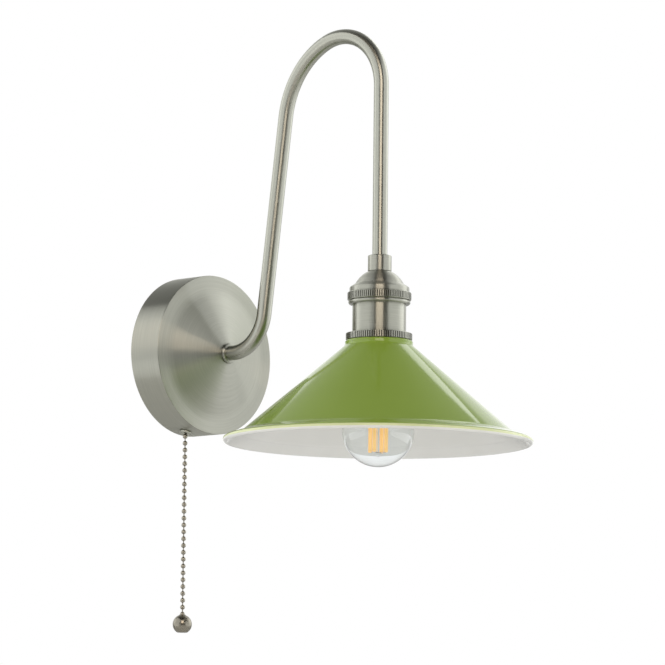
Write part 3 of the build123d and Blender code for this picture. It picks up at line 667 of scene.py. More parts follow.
# ------------------------------------------------------------------ wall rose
@dataclass
class WallRose:
    """Spun rose with a flat rim and a hollow-footed dome."""

    finishes: Finishes
    radius: float = 51.5
    depth: float = 24.5
    wall: float = 1.2
    edge: float = 0.45
    rim_width: float = 5.85
    foot_width: float = 7.7
    foot_rise: float = 1.6
    dome_rise: float = 12.2
    dome_top: float = 7.2
    arm_hole: float = 4.8
    nozzle_hole: float = 3.3
    screw_depth: float = 7.0
    screw_hole: float = 1.6

    def face(self, inset: float) -> Outline:
        """Outline of the pressed face in one skin, from its edge to its middle.

        Args:
            inset: How far the skin lies behind the front.

        Returns:
            Points of (radius, depth).
        """
        rim = self.radius - self.edge - self.rim_width
        low = self.depth - inset
        foot, heading = tangent_arc((rim, low), (rim - self.foot_width, low + self.foot_rise), (-1, 0), 14)
        dome, _ = tangent_arc(foot[-1], (self.dome_top, low + self.dome_rise), heading, 24)
        return foot + dome[1:]

    def outline(self) -> Outline:
        """Closed outline of the whole sheet."""
        edge = arc((self.radius - self.edge, self.depth - self.edge), self.edge, 0, 90, 6)
        outer = [(self.radius, 0.0), *edge, *self.face(0)]
        outer += [(self.arm_hole, self.depth + self.dome_rise)]
        inner = [(self.radius - self.wall, 0.0), (self.radius - self.wall, self.depth - self.wall)]
        inner += [*self.face(self.wall), (self.arm_hole, self.depth + self.dome_rise - self.wall)]
        return outer + inner[::-1]

    def build(self, switch_place: Matrix) -> None:
        """Make the rose and cut the holes for the cord nozzle and its small screw.

        Args:
            switch_place: Place of the cord nozzle, in millimetres.
        """
        rose = lathe("spun_rose", self.outline(), 192, WALL_AXIS, 20)
        bore = solid([(self.nozzle_hole, -4), (self.nozzle_hole, 6)])
        nozzle = lathe("nozzle_cutter", bore, 48, switch_place)
        side = Matrix.Translation((0, -self.screw_depth, 0)) @ Matrix.Rotation(math.radians(90), 4, "Y")
        screw = lathe("screw_cutter", solid([(self.screw_hole, 40), (self.screw_hole, 60)]), 32, side)
        carve(rose, [nozzle, screw], 20)
        install(dress(rose, self.finishes.rose), Body.LIGHT, "brushed_nickel", "wall_rose")


# ------------------------------------------------------------------ swan-neck arm
@dataclass
class SwanNeckArm:
    """Bent tube that leaves the rose, climbs, turns over and drops to the holder."""

    finishes: Finishes
    radius: float = 4.75
    wall: float = 1.0
    inner_end: float = 21.0
    lamp_end: float = 43.31
    leg_foot: float = 65.4
    lean: float = 7.7
    foot_bend: float = 27.0
    crown_height: float = 194.8
    crown_radius: float = 35.5
    blend: float = 20.0
    ferrule_radius: float = 6.6
    ferrule_length: float = 2.4
    ferrule_flat: float = 0.8
    dome_top: float = 36.7
    sides: int = 40

    def stations(self) -> list[tuple[float, float, float, float]]:
        """Stations along the centre line.

        Returns:
            For each station its depth, its height and its direction of travel.
        """
        lean, blend = math.radians(self.lean), math.radians(self.blend)
        across = Vector((math.cos(lean), -math.sin(lean)))
        foot = Vector((self.leg_foot, 0))
        crown = Vector((LAMP_REACH - self.crown_radius, self.crown_height - self.crown_radius))
        share = math.sin(lean + blend)
        wide = ((crown - foot).dot(across) - self.crown_radius * share) / (1 - share)
        middle = crown + Vector((math.sin(blend), -math.cos(blend))) * (wide - self.crown_radius)
        cut = self.foot_bend * math.tan(math.radians(90 - self.lean) / 2)
        runs: list[tuple[float, float, float, float]] = [(self.inner_end, 0.0, 1.0, 0.0)]

        def bend(centre: Vector, radius: float, start: float, end: float) -> None:
            """Add the stations of one bend."""
            way = 1 if end > start else -1
            for step in range(61):
                turn = math.radians(start + (end - start) * step / 60)
                runs.append((centre.x + radius * math.cos(turn), centre.y + radius * math.sin(turn),
                             -way * math.sin(turn), way * math.cos(turn)))

        bend(Vector((self.leg_foot - cut, self.foot_bend)), self.foot_bend, -90, -self.lean)
        bend(middle, wide, 180 - self.lean, 90 + self.blend)
        bend(crown, self.crown_radius, 90 + self.blend, 0)
        runs.append((LAMP_REACH, self.lamp_end, 0.0, -1.0))
        return runs

    def tube(self) -> Piece:
        """Make the tube, with a map that runs along it.

        Returns:
            The tube.
        """
        stations = self.stations()
        turns = np.arange(self.sides) * 2 * math.pi / self.sides
        skins = []
        for radius in (self.radius, self.radius - self.wall):
            for depth, height, out, up in stations if radius == self.radius else stations[::-1]:
                ring = np.empty((self.sides, 3))
                ring[:, 0] = radius * np.cos(turns)
                ring[:, 1] = -depth + radius * np.sin(turns) * up
                ring[:, 2] = height + radius * np.sin(turns) * out
                skins.append(ring)
        mesh = skin(np.array(skins), True, "drawn_arm")
        lengths = [0.0]
        for first, second in zip(stations, stations[1:]):
            lengths.append(lengths[-1] + math.dist(first[:2], second[:2]))
        lengths += lengths[::-1]
        layer = mesh.uv_layers.new(name=ALONG_MAP)
        for face in mesh.polygons:
            for corner, loop in zip(face.vertices, face.loop_indices):
                ring, side = divmod(corner, self.sides)
                if side == 0 and any(mesh.loops[other].vertex_index % self.sides == self.sides - 1
                                     for other in face.loop_indices):
                    side = self.sides
                layer.data[loop].uv = (side / self.sides * 2 * math.pi * self.radius * MM, lengths[ring] * MM)
        return finish_mesh("drawn_arm", mesh, 40, weld=False)

    def build(self) -> None:
        """Make the tube and the ferrule where it leaves the dome."""
        install(dress(self.tube(), self.finishes.arm), Body.LIGHT, "brushed_nickel", "swan_neck_arm")
        bore, low, half = self.radius + 0.02, self.dome_top, self.ferrule_length / 2
        waist = self.radius + self.ferrule_flat
        swell = (self.ferrule_radius - waist) / half
        crest = [(waist + (x - waist) * swell, y) for x, y in arc((waist, low + half), half, -90, 90, 14)]
        outline = [(bore, low), *crest, (bore, low + self.ferrule_length)]
        ferrule = lathe("arm_collar_bead", outline, 96, WALL_AXIS)
        install(dress(ferrule, self.finishes.rose), Body.LIGHT, "brushed_nickel", "arm_ferrule")


# ------------------------------------------------------------------ repeats
class RepeatTree:
    """Builds and runs the node trees of pieces that repeat."""

    def __init__(self, name: str, sizes: dict[str, float | int]) -> None:
        """Start a tree with named inputs.

        Args:
            name: Name of the tree.
            sizes: Input name to its value; whole numbers become counts.
        """
        self.tree = bpy.data.node_groups.new(name, "GeometryNodeTree")
        self.sizes = sizes
        self.sockets: dict[str, str] = {}
        for label, value in sizes.items():
            kind = "NodeSocketInt" if isinstance(value, int) else "NodeSocketFloat"
            made = self.tree.interface.new_socket(label, in_out="INPUT", socket_type=kind)
            self.sockets[label] = made.identifier
        made = self.tree.interface.new_socket("Finish", in_out="INPUT", socket_type="NodeSocketMaterial")
        self.sockets["Finish"] = made.identifier
        self.tree.interface.new_socket("Geometry", in_out="OUTPUT", socket_type="NodeSocketGeometry")
        self.source = add(self.tree, "NodeGroupInput")

    def size(self, label: str) -> Socket:
        """Return the socket of a named size."""
        return self.source.outputs[label]

    def run(self, name: str, shape: Socket, finish: Material,
            place: Matrix = Matrix()) -> Piece:
        """Close the tree and turn its result into a plain piece.

        Args:
            name: Name of the piece.
            shape: The socket that holds the instances.
            finish: The piece's material.
            place: Where the piece goes, with its offset in metres.

        Returns:
            The piece, with its place in its mesh.
        """
        real = add(self.tree, "GeometryNodeRealizeInstances", {0: shape})
        coated = add(self.tree, "GeometryNodeSetMaterial", {"Geometry": real.outputs[0],
                                                            "Material": self.size("Finish")})
        add(self.tree, "NodeGroupOutput", {0: coated.outputs[0]})
        piece = bpy.data.objects.new(name, bpy.data.meshes.new(name))
        bpy.context.scene.collection.objects.link(piece)
        change = piece.modifiers.new("repeat", "NODES")
        change.node_group = self.tree
        for label, value in self.sizes.items():
            change[self.sockets[label]] = value
        change[self.sockets["Finish"]] = finish
        settle(piece)
        piece.data.transform(place)
        piece.data.shade_smooth()
        piece.data.set_sharp_from_angle(angle=math.radians(35))
        return piece


def knurling(name: str, radius: float, low: float, high: float, finish: Material,
             count: int = 88, depth: float = 0.6, share: float = 0.52) -> Piece:
    """Straight knurling: a ridge repeated round the lamp's axis, drawn a little coarse so that it shows.

    Args:
        name: Name of the piece.
        radius: Radius over the ridges.
        low: Lower end of the ridges.
        high: Upper end of the ridges.
        finish: The ridges' material.
        count: Number of ridges.
        depth: Height of a ridge.
        share: Part of the pitch that a ridge takes.

    Returns:
        The ridges as one piece.
    """
    width = 2 * math.pi * radius / count * share
    work = RepeatTree(name, {"Count": count, "Radius": (radius - depth / 2) * MM, "Height": (high - low) * MM,
                             "Ridge": depth * MM, "Width": width * MM})
    tree = work.tree
    circle = add(tree, "GeometryNodeMeshCircle", {"Vertices": work.size("Count"),
                                                  "Radius": work.size("Radius")})
    size = add(tree, "ShaderNodeCombineXYZ", {0: work.size("Ridge"), 1: work.size("Width"),
                                              2: work.size("Height")})
    ridge = add(tree, "GeometryNodeMeshCube", {"Size": size.outputs[0]})
    spot = add(tree, "GeometryNodeInputPosition")
    aim = add(tree, "FunctionNodeAlignEulerToVector", {"Vector": spot.outputs[0]}, axis="X",
              pivot_axis="Z")
    rows = add(tree, "GeometryNodeInstanceOnPoints", {"Points": circle.outputs[0],
                                                      "Instance": ridge.outputs[0],
                                                      "Rotation": aim.outputs[0]})
    place = Matrix.Translation(Vector((0, -LAMP_REACH, (low + high) / 2)) * MM)
    return work.run(name, rows.outputs[0], finish, place)


def bead_string(name: str, count: int, pitch: float, radius: float, link: float, gap: float,
                finish: Material, place: Matrix) -> Piece:
    """A string of balls along -Z, each with its bar above it.

    Args:
        name: Name of the piece.
        count: Number of balls.
        pitch: Ball to ball, in millimetres.
        radius: Radius of a ball.
        link: Radius of a bar.
        gap: Free space above the top of a bar, in millimetres.
        finish: The chain's material.
        place: Place of the first ball, with its offset in metres.

    Returns:
        The string as one piece.
    """
    work = RepeatTree(name, {"Count": count, "Pitch": pitch * MM, "Ball": radius * MM, "Bar": link * MM,
                             "Bar length": (pitch - radius - gap) * MM})
    tree = work.tree
    fall = add(tree, "ShaderNodeMath", {0: work.size("Pitch"), 1: -1.0}, operation="MULTIPLY")
    step = add(tree, "ShaderNodeCombineXYZ", {2: fall.outputs[0]})
    row = add(tree, "GeometryNodeMeshLine", {"Count": work.size("Count"), "Offset": step.outputs[0]})
    ball = add(tree, "GeometryNodeMeshUVSphere", {"Segments": 20, "Rings": 12, "Radius": work.size("Ball")})
    bar = add(tree, "GeometryNodeMeshCylinder", {"Vertices": 10, "Radius": work.size("Bar"),
                                                 "Depth": work.size("Bar length")})
    half = add(tree, "ShaderNodeMath", {0: work.size("Bar length"), 1: 0.5}, operation="MULTIPLY")
    lift = add(tree, "ShaderNodeMath", {0: half.outputs[0], 1: work.size("Ball")}, operation="ADD")
    above = add(tree, "ShaderNodeCombineXYZ", {2: lift.outputs[0]})
    raised = add(tree, "GeometryNodeTransform", {"Geometry": bar.outputs["Mesh"],
                                                 "Translation": above.outputs[0]})
    unit = add(tree, "GeometryNodeJoinGeometry")
    tree.links.new(ball.outputs["Mesh"], unit.inputs[0])
    tree.links.new(raised.outputs[0], unit.inputs[0])
    rows = add(tree, "GeometryNodeInstanceOnPoints", {"Points": row.outputs[0], "Instance": unit.outputs[0]})
    return work.run(name, rows.outputs[0], finish, place)


# ------------------------------------------------------------------ lamp holder
@dataclass
class LampHolder:
    """Turned holder: collar, domed cap, knurled cap ring, sleeve, insert and shade rings."""

    finishes: Finishes
    shade_top: float = -2.2
    upper_ring: tuple[float, float] = (20.7, 4.4)
    lower_ring: tuple[float, float] = (19.0, 5.0)
    body: float = 16.8
    body_wall: float = 1.2
    body_height: float = 18.2
    body_in_ring: float = 7.0
    bead: tuple[float, float] = (19.4, 2.5)
    cap_ring: tuple[float, float] = (19.95, 5.0)
    knurl_depth: float = 0.6
    flange: tuple[float, float] = (18.7, 3.2)
    shoulder_rise: float = 2.3
    sphere: float = 17.0
    sphere_foot: float = 15.2
    collar: tuple[float, float] = (7.45, 10.0)
    cap_wall: float = 1.2
    spigot: float = 4.7
    tube_hole: float = 4.8
    tube_in_collar: float = 8.0
    lead_bore: float = 3.0
    skirt: float = 14.0
    skirt_wall: float = 1.2
    skirt_length: float = 20.0
    shade_wall: float = 1.2
    slack: float = 0.1
    insert_bore: float = 7.75
    insert_foot: float = 0.5
    insert_roof: float = -1.95
    insert_rise: float = 11.0

    def levels(self) -> dict[str, float]:
        """Heights of the joints between the pieces."""
        ring = self.shade_top + self.upper_ring[1]
        body = ring + self.body_height
        bead = body + self.bead[1]
        cap = bead + self.cap_ring[1]
        flange = cap + self.flange[1] + self.shoulder_rise
        centre = flange - math.sqrt(self.sphere**2 - self.sphere_foot**2)
        top = centre + math.sqrt(self.sphere**2 - (self.collar[0] - self.cap_wall / 2)**2)
        return {"ring": ring, "body": body, "bead": bead, "cap": cap, "flange": flange, "centre": centre,
                "top": top, "skirt": self.shade_top - self.skirt_length}

    def knurled(self, name: str, below: Outline, above: Outline, band: tuple[float, float, float],
                node: str) -> None:
        """Turn a ring whose band is knurled and install it.

        Args:
            name: Name of the piece.
            below: Its outline up to the foot of the groove.
            above: Its outline from the top of the groove.
            band: Radius over the ridges, with their lower and upper ends.
            node: The CAD node that it stands for.
        """
        metal, outline = self.finishes.holder, below + above
        # the band under the ridges gets the dark groove metal: painted shade in the floor of the knurls
        coats = [int(step == len(below) - 1) for step in range(len(outline))]
        core = dress(lathe(name, outline, 128, LAMP_AXIS, coats=coats), metal, self.finishes.groove_shade)
        piece = join(name, [core, knurling(f"{name}_ridges", *band, metal)])
        install(piece, Body.LIGHT, "brushed_nickel", node)

    def put(self, name: str, outline: Outline, finish: Material, *nodes: str,
            slot: str = "brushed_nickel") -> None:
        """Turn one piece on the lamp's axis and install it.

        Args:
            name: Name of the piece.
            outline: Its closed outline.
            finish: Its material.
            nodes: The CAD nodes that it stands for.
            slot: The record's material slot.
        """
        install(dress(lathe(name, outline, 128, LAMP_AXIS), finish), Body.LIGHT, slot, *nodes)

    def build(self) -> None:
        """Make every turned piece of the holder."""
        at, metal = self.levels(), self.finishes.holder
        self.shade_rings(at)
        self.put("holder_sleeve", self.body_outline(at), metal, "holder_body")
        self.ring_on_cap(at)
        self.put("domed_cap", self.cap_outline(at), metal, "holder_cap")
        wide, tall = self.collar
        top, low = at["top"] + tall, at["top"] - 2 * self.cap_wall
        end = top - self.tube_in_collar
        collar = [(self.lead_bore, low, 0.1), (self.spigot, low, 0.2), (self.spigot, at["top"]),
                  (wide, at["top"], 0.3), (wide, top, 0.8), (self.tube_hole, top, 0.15),
                  (self.tube_hole, end), (self.lead_bore, end, 0.1)]
        self.put("arm_collar", softened(collar, 5), metal, "holder_collar")
        self.socket(at)

    def shade_rings(self, at: dict[str, float]) -> None:
        """Make the knurled ring above the shade and the plain one below it.

        Args:
            at: Heights of the joints.
        """
        bore, radius = self.skirt + self.slack, self.upper_ring[0]
        low, top, floor = self.shade_top, at["ring"], radius - self.knurl_depth
        below = [(bore, low), (radius - 1.2, low), (radius - 0.7, low + 0.5), (floor, low + 0.5)]
        above = [(floor, top - 0.35), (radius - 0.1, top - 0.3), (radius - 0.3, top), (bore, top)]
        band = (radius, low + 0.35, top - 0.32)
        self.knurled("knurled_shade_ring", below, above, band, "shade_ring_upper")
        outer, depth = self.lower_ring
        under = self.shade_top - self.shade_wall
        ring = sleeve(outer, bore, under - depth, under, 0.5)
        self.put("lock_ring_below", ring, self.finishes.holder, "shade_ring_lower")

    def body_outline(self, at: dict[str, float]) -> Outline:
        """Closed outline of the sleeve with its skirt.

        Args:
            at: Heights of the joints.

        Returns:
            Points of (radius, height).
        """
        inner, plate = self.body - self.body_wall, at["ring"] + self.body_wall
        neck, top = self.skirt - self.skirt_wall, at["body"] + self.body_in_ring
        return softened([(neck, at["skirt"], 0.2), (self.skirt, at["skirt"], 0.4), (self.skirt, at["ring"]),
                         (self.body, at["ring"], 0.35), (self.body, top, 0.2), (inner, top, 0.2),
                         (inner, plate, 0.3), (neck, plate, 0.2)], 4)

    def ring_on_cap(self, at: dict[str, float]) -> None:
        """Make the cap ring with its smooth bead and its knurled band.

        Args:
            at: Heights of the joints.
        """
        radius, loose, half = self.cap_ring[0], self.body + self.slack, self.bead[1] / 2
        floor, lip = radius - self.knurl_depth, radius - 0.1
        low, top = at["bead"], at["cap"]
        bead = arc((self.bead[0] - half, at["body"] + half), half, -90, 90, 12)
        below = [(loose, at["body"]), *bead, (radius - 0.5, low), (lip, low + 0.3), (lip, low + 0.5),
                 (floor, low + 0.7)]
        above = [(floor, top - 0.7), (lip, top - 0.5), (lip, top - 0.3), (radius - 0.4, top), (loose, top)]
        self.knurled("knurled_cap_ring", below, above, (radius, low + 0.6, top - 0.6), "cap_ring")

    def cap_outline(self, at: dict[str, float]) -> Outline:
        """Closed outline of the cap with its sloping shoulder.

        Args:
            at: Heights of the joints.

        Returns:
            Points of (radius, height).
        """
        outer, tall = self.flange
        narrow = self.collar[0] - self.cap_wall / 2
        centre = (0.0, at["centre"])

        def crown(radius: float, foot: float, top: float) -> Outline:
            """Points on the round crown between two radii."""
            first = math.degrees(math.acos(foot / radius))
            last = math.degrees(math.acos(top / radius))
            return arc(centre, radius, first, last, 16)

        hollow = crown(self.sphere - self.cap_wall, self.sphere_foot - self.cap_wall, self.tube_hole)
        edge = softened([(self.body, at["cap"]), (outer, at["cap"], 0.3), (outer, at["cap"] + tall, 1.2),
                         (self.sphere_foot, at["flange"])], 6, closed=False)
        return [*edge[:-1], *crown(self.sphere, self.sphere_foot, narrow), (self.tube_hole, at["top"]),
                *hollow[::-1], (self.body - self.cap_wall, at["flange"] - self.cap_wall),
                (self.body, at["flange"] - 2 * self.cap_wall)]

    def socket(self, at: dict[str, float]) -> None:
        """Make the moulded insert.

        Args:
            at: Heights of the joints.
        """
        bore, waist = self.insert_bore, self.skirt - self.skirt_wall - self.slack
        wide, floor = self.body - self.body_wall - self.slack, at["ring"] + self.body_wall
        low, roof, high = at["skirt"] + self.insert_foot, self.insert_roof, floor + self.insert_rise
        outline = [(bore, low, 0.3), (waist, low, 0.5), (waist, floor), (wide, floor, 0.2), (wide, high, 0.5),
                   (0.0, high), (0.0, roof), (bore, roof, 0.2)]
        self.put("socket_insert", softened(outline, 3), self.finishes.black, "holder_insert",
                 slot="insulator_plastic")


# ------------------------------------------------------------------ shade
@dataclass
class EnamelShade:
    """Spun cone with a short neck, a flared lip and a rolled rim."""

    finishes: Finishes
    top: float = -2.2
    hole: float = 14.3
    wall: float = 1.2
    neck: float = 21.2
    neck_height: float = 3.2
    neck_round: float = 1.3
    neck_hollow: float = 3.0
    crease: float = 85.0
    slope: float = 41.2
    slope_start: float = 2.0
    flare: float = 15.5
    flare_round: float = 6.0
    roll_height: float = -64.86
    rim: float = 96.3
    bead: float = 1.9
    green_steps: int = 4
    pale_highlight_steps: int = 11

    def build(self) -> None:
        """Make the shade with its three enamels."""
        foot = self.top - self.neck_height
        drop = (self.crease - self.neck) * math.tan(math.radians(self.slope))
        crease = (self.crease, self.top - self.slope_start - drop)
        middle = (self.rim - self.bead, self.roll_height)
        lip = polar(middle, self.bead, 90 - self.flare)
        corners = [(self.hole, self.top), (self.neck, self.top, self.neck_round),
                   (self.neck, foot, self.neck_hollow), (*crease, self.flare_round), lip]
        outer = softened(corners, 12, closed=False)
        inner = inward(outer[:-1], self.wall)
        roll = arc(middle, self.bead, 90 - self.flare, -125, 28)
        outline = outer + roll[1:] + inner[::-1]
        # the roll is green on top, then a pale band that is partly a painted highlight, then white inside
        green, pale = len(outer) + self.green_steps, len(outer) + self.pale_highlight_steps
        coats = [0 if step < green else 1 if step < pale else 2 for step in range(len(outline))]
        shade = lathe("enamelled_shade", outline, 256, LAMP_AXIS, 40, coats)
        dress(shade, self.finishes.green, self.finishes.lip, self.finishes.white)
        install(shade, Body.LIGHT, "green_enamel", "shade")


# ------------------------------------------------------------------ lamp
@dataclass
class FilamentLamp:
    """Clear golf-ball lamp with upright filament rods."""

    finishes: Finishes
    radius: float = 22.5
    bottom: float = -81.1
    length: float = 78.0
    glass: float = 0.45
    neck: float = 6.4
    cap: float = 6.9
    cap_length: float = 17.0
    insulator: float = 3.4
    button: float = 1.5
    pitch: float = 2.8
    filament_circle: float = 5.4
    filament_turn: float = 18.0
    filament_bottom: float = -72.0
    filament_length: float = 29.0
    filament_radius: float = 1.2
    filaments: int = 4

    def skin(self, inset: float, low: float) -> Outline:
        """Outline of one side of the glass, from the neck to the bottom.

        Args:
            inset: Depth below the outer side.
            low: Height of the cap's lower edge.

        Returns:
            Points of (radius, height).
        """
        neck, ball = self.neck - inset, self.radius - inset
        centre = self.bottom + self.radius
        turn = low - 1.0
        rise = turn - centre
        hollow = (neck**2 + rise**2 - ball**2) / (2 * (ball - neck))
        middle = Vector((neck + hollow, turn))
        spoke = (middle - Vector((0, centre))).normalized()
        meet = Vector((0, centre)) + spoke * ball
        fillet, _ = tangent_arc((neck, turn), meet, (0, -1), 14)
        start = math.degrees(math.atan2(spoke.y, spoke.x))
        ball_points = arc((0, centre), ball, start, -90, 48)
        ball_points[-1] = (0.0, centre - ball)
        return [(neck, low + 3.0), *fillet, *ball_points[1:]]

    def build(self) -> None:
        """Make the lamp's glass, cap, stem and filaments."""
        top = self.bottom + self.length
        cap_top = top - self.button - self.insulator
        low = cap_top - self.cap_length
        look = self.finishes
        outline = self.skin(0, low) + self.skin(self.glass, low)[::-1]
        glass = dress(lathe("golf_ball_glass", outline, 96, LAMP_AXIS, 50), look.glass)
        install(glass, Body.BULB, "clear_glass", "bulb_glass")
        cap = dress(self.threaded_cap(low, cap_top), look.lamp_cap)
        install(cap, Body.BULB, "lamp_cap", "bulb_cap")
        stem_top = low + 3.0
        rod_low = self.filament_bottom - 2.5
        stem = softened([(5.3, stem_top), (5.3, stem_top - 1, 0.8), (3.0, stem_top - 3.5, 1.5),
                         (2.6, stem_top - 12, 1.0), (0.8, stem_top - 14, 0.8), (0.8, rod_low + 0.6, 0.3),
                         (0.9, rod_low, 0.3)], 6, closed=False)
        pillar = dress(lathe("pressed_stem", solid(stem), 40, LAMP_AXIS, 50), look.glass)
        install(pillar, Body.BULB, "clear_glass", "bulb_stem")
        self.rods()

    def rods(self) -> None:
        """Make the filament rods and the wires that hold them."""
        low, wide = self.filament_bottom, self.filament_radius
        high = low + self.filament_length
        outline = solid([(wide * 0.7, low), (wide, low + 0.5), (wide, high - 0.5), (wide * 0.7, high)])
        rods, wires = [], []
        for number in range(self.filaments):
            degrees = self.filament_turn + 360 / self.filaments * number
            turn = LAMP_AXIS @ Matrix.Rotation(math.radians(degrees), 4, "Z")
            place = turn @ Matrix.Translation((self.filament_circle, 0, 0))
            rods.append(dress(lathe("rod", outline, 16, place, 60), self.finishes.filament))
            for level in (low - 0.1, high + 0.1):
                bar = np.array([[(reach, -0.3, level - 0.2), (reach, 0.3, level - 0.2),
                                 (reach, 0.3, level + 0.2), (reach, -0.3, level + 0.2)]
                                for reach in (0.5, self.filament_circle)])
                wire = finish_mesh("wire", skin(bar, False, "wire", turn))
                wires.append(dress(wire, self.finishes.lamp_cap))
        install(join("filament_rods", rods), Body.BULB, "filament_coating", "bulb_filaments")
        install(join("filament_wires", wires), Body.BULB, "zinc_steel", "filament_supports")

    def threaded_cap(self, low: float, high: float) -> Piece:
        """Make the screw cap with its rolled thread.

        Args:
            low: Height of its lower edge.
            high: Height of its closed end.

        Returns:
            The cap.
        """
        turns, rows = 72, 84
        rings = np.empty((2 * rows, turns, 3))
        angles = np.arange(turns) * 2 * math.pi / turns
        heights = np.linspace(low, high, rows)
        for row, height in enumerate(heights):
            fade = min(1.0, (height - low) / 3, (high - height) / 1.5)
            wave = 0.35 * max(0.0, fade) * (np.cos((height / self.pitch) * 2 * math.pi - angles) - 1) / 2
            radius = self.cap + wave
            for index, inset in ((row, 0.0), (2 * rows - 1 - row, 0.3)):
                rings[index, :, 0] = (radius - inset) * np.cos(angles)
                rings[index, :, 1] = (radius - inset) * np.sin(angles)
                rings[index, :, 2] = height
        return finish_mesh("rolled_lamp_cap", skin(rings, True, "rolled_lamp_cap", LAMP_AXIS), 50)


# ------------------------------------------------------------------ pull switch and chain
@dataclass
class PullSwitch:
    """Cord nozzle, ball chain and knob of the switch."""

    finishes: Finishes
    rose_radius: float = 51.5
    angle: float = 14.0
    depth: float = 11.8
    bead: float = 1.6
    pitch: float = 4.4
    link: float = 0.4
    mouth: float = -3.4
    hanging: int = 27
    knob: float = 6.2
    knob_offset: float = 2.1

    def place(self) -> Matrix:
        """Place of the nozzle on the rose, in millimetres."""
        turn = math.radians(self.angle)
        origin = Vector((-self.rose_radius * math.sin(turn), -self.depth, -self.rose_radius * math.cos(turn)))
        return Matrix.Translation(origin) @ Matrix.Rotation(turn, 4, "Y")

    def strand(self, name: str, count: int, gap: float, place: Matrix) -> Piece:
        """Make a string of balls at a place given in millimetres."""
        metres = place.copy()
        metres.translation = place.translation * MM
        return bead_string(name, count, self.pitch, self.bead, self.link, gap, self.finishes.chain, metres)

    def build(self) -> None:
        """Make the nozzle, the chain's three bodies and the knob."""
        place, look = self.place(), self.finishes
        outline = softened([(2.3, 7.7, 0.2), (3.2, 7.7, 0.3), (3.2, 0.0), (4.1, 0.0, 0.25), (4.1, -0.9, 0.5),
                            (3.3, -1.8, 0.3), (2.3, -0.6, 0.4)], 5)
        install(dress(lathe("flared_nozzle", outline, 64, place), look.small), Body.LIGHT, "brushed_nickel",
                "switch_nozzle")
        top = place @ Matrix.Translation((0, 0, self.mouth + 2 * self.pitch))
        install(self.strand("chain_in_nozzle", 3, self.bead, top), Body.HEAD, "chain_metal", "lead_chain")
        mouth = (place @ Matrix.Translation((0, 0, self.mouth))).translation
        first = Matrix.Translation(mouth - Vector((0, 0, self.pitch)))
        link = self.strand("swinging_ball", 1, self.bead + 0.15, first)
        install(link, Body.SWING, "chain_metal", "swing_link")
        second = Matrix.Translation(mouth - Vector((0, 0, 2 * self.pitch)))
        chain = self.strand("ball_chain", self.hanging - 1, self.bead + 0.02, second)
        install(chain, Body.CHAIN, "chain_metal", "chain_beads", "chain_bars")
        centre = mouth - Vector((0, 0, self.hanging * self.pitch + self.knob_offset))
        ball = arc((0, 0), self.knob, -59, 70, 40)
        flat = -self.knob * math.sin(math.radians(60))
        foot = [(ball[0][0] - 0.25, flat), (0.0, flat)]
        crown = [(2.1, ball[-1][1] + 0.25), (1.75, ball[-1][1] + 0.2), (1.7, 2.0), (0.0, 2.0)]
        shape = foot[::-1] + ball[1:] + crown
        knob = dress(lathe("ball_knob", shape, 64, Matrix.Translation(centre), 40), look.knob)
        install(knob, Body.CHAIN, "chain_metal", "pull_knob")


# ------------------------------------------------------------------ carried-over pieces
@dataclass
class Interior:
    """Pieces whose CAD shape is right and that only need their finish."""

    finishes: Finishes
    kept: dict[str, str] = field(default_factory=lambda: {
        "wall_bracket": "zinc", "rose_hook": "zinc", "rose_screw": "small", "earth_screw": "brass",
        "arm_lock_washer": "zinc", "arm_lock_nut": "zinc", "arm_flex": "sheath", "screw_shell": "brass",
        "centre_contact": "brass", "holder_terminals": "brass", "bulb_insulator": "black",
        "bulb_button": "lamp_cap", "nozzle_nut": "zinc", "switch_housing": "black", "switch_cover": "black",
        "rotor_pin": "zinc", "switch_rotor": "block", "switch_slider": "zinc", "switch_spring": "zinc",
        "contact_blades": "brass", "terminal_block": "block", "terminal_screws": "brass",
        "wiring_leads": "live"})

    def build(self) -> None:
        """Give each carried-over node its finish."""
        for node, finish in self.kept.items():
            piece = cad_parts[node]
            piece.data.materials.clear()
            piece.data.materials.append(getattr(self.finishes, finish))
            log.info("%s keeps its CAD shape", node)


# ------------------------------------------------------------------ studio
@dataclass(frozen=True)
class Softbox:
    """A soft light, placed by its bearing from the lamp."""

    name: str
    azimuth: float
    elevation: float
    distance: float
    width: float
    height: float
    radiance: float
    tint: str = "#ffffff"

    def build(self, ahead: Vector, aim: Vector) -> None:
        """Add the light.

        Args:
            ahead: Level direction from the lamp to the camera.
            aim: The point that the light faces, in metres.
        """
        turn, rise = math.radians(self.azimuth), math.radians(self.elevation)
        beside = Vector((-ahead.y, ahead.x, 0.0))
        way = (ahead * math.cos(turn) + beside * math.sin(turn)) * math.cos(rise)
        way.z = math.sin(rise)
        data = bpy.data.lights.new(self.name, "AREA")
        data.shape, data.size, data.size_y = "RECTANGLE", self.width, self.height
        data.energy = self.radiance * math.pi * self.width * self.height
        data.color = linear(self.tint)[:3]
        lamp = bpy.data.objects.new(self.name, data)
        place = Matrix.Translation(aim + way * self.distance)
        lamp.matrix_world = place @ (-way).to_track_quat("-Z", "Y").to_matrix().to_4x4()
        bpy.context.scene.collection.objects.link(lamp)


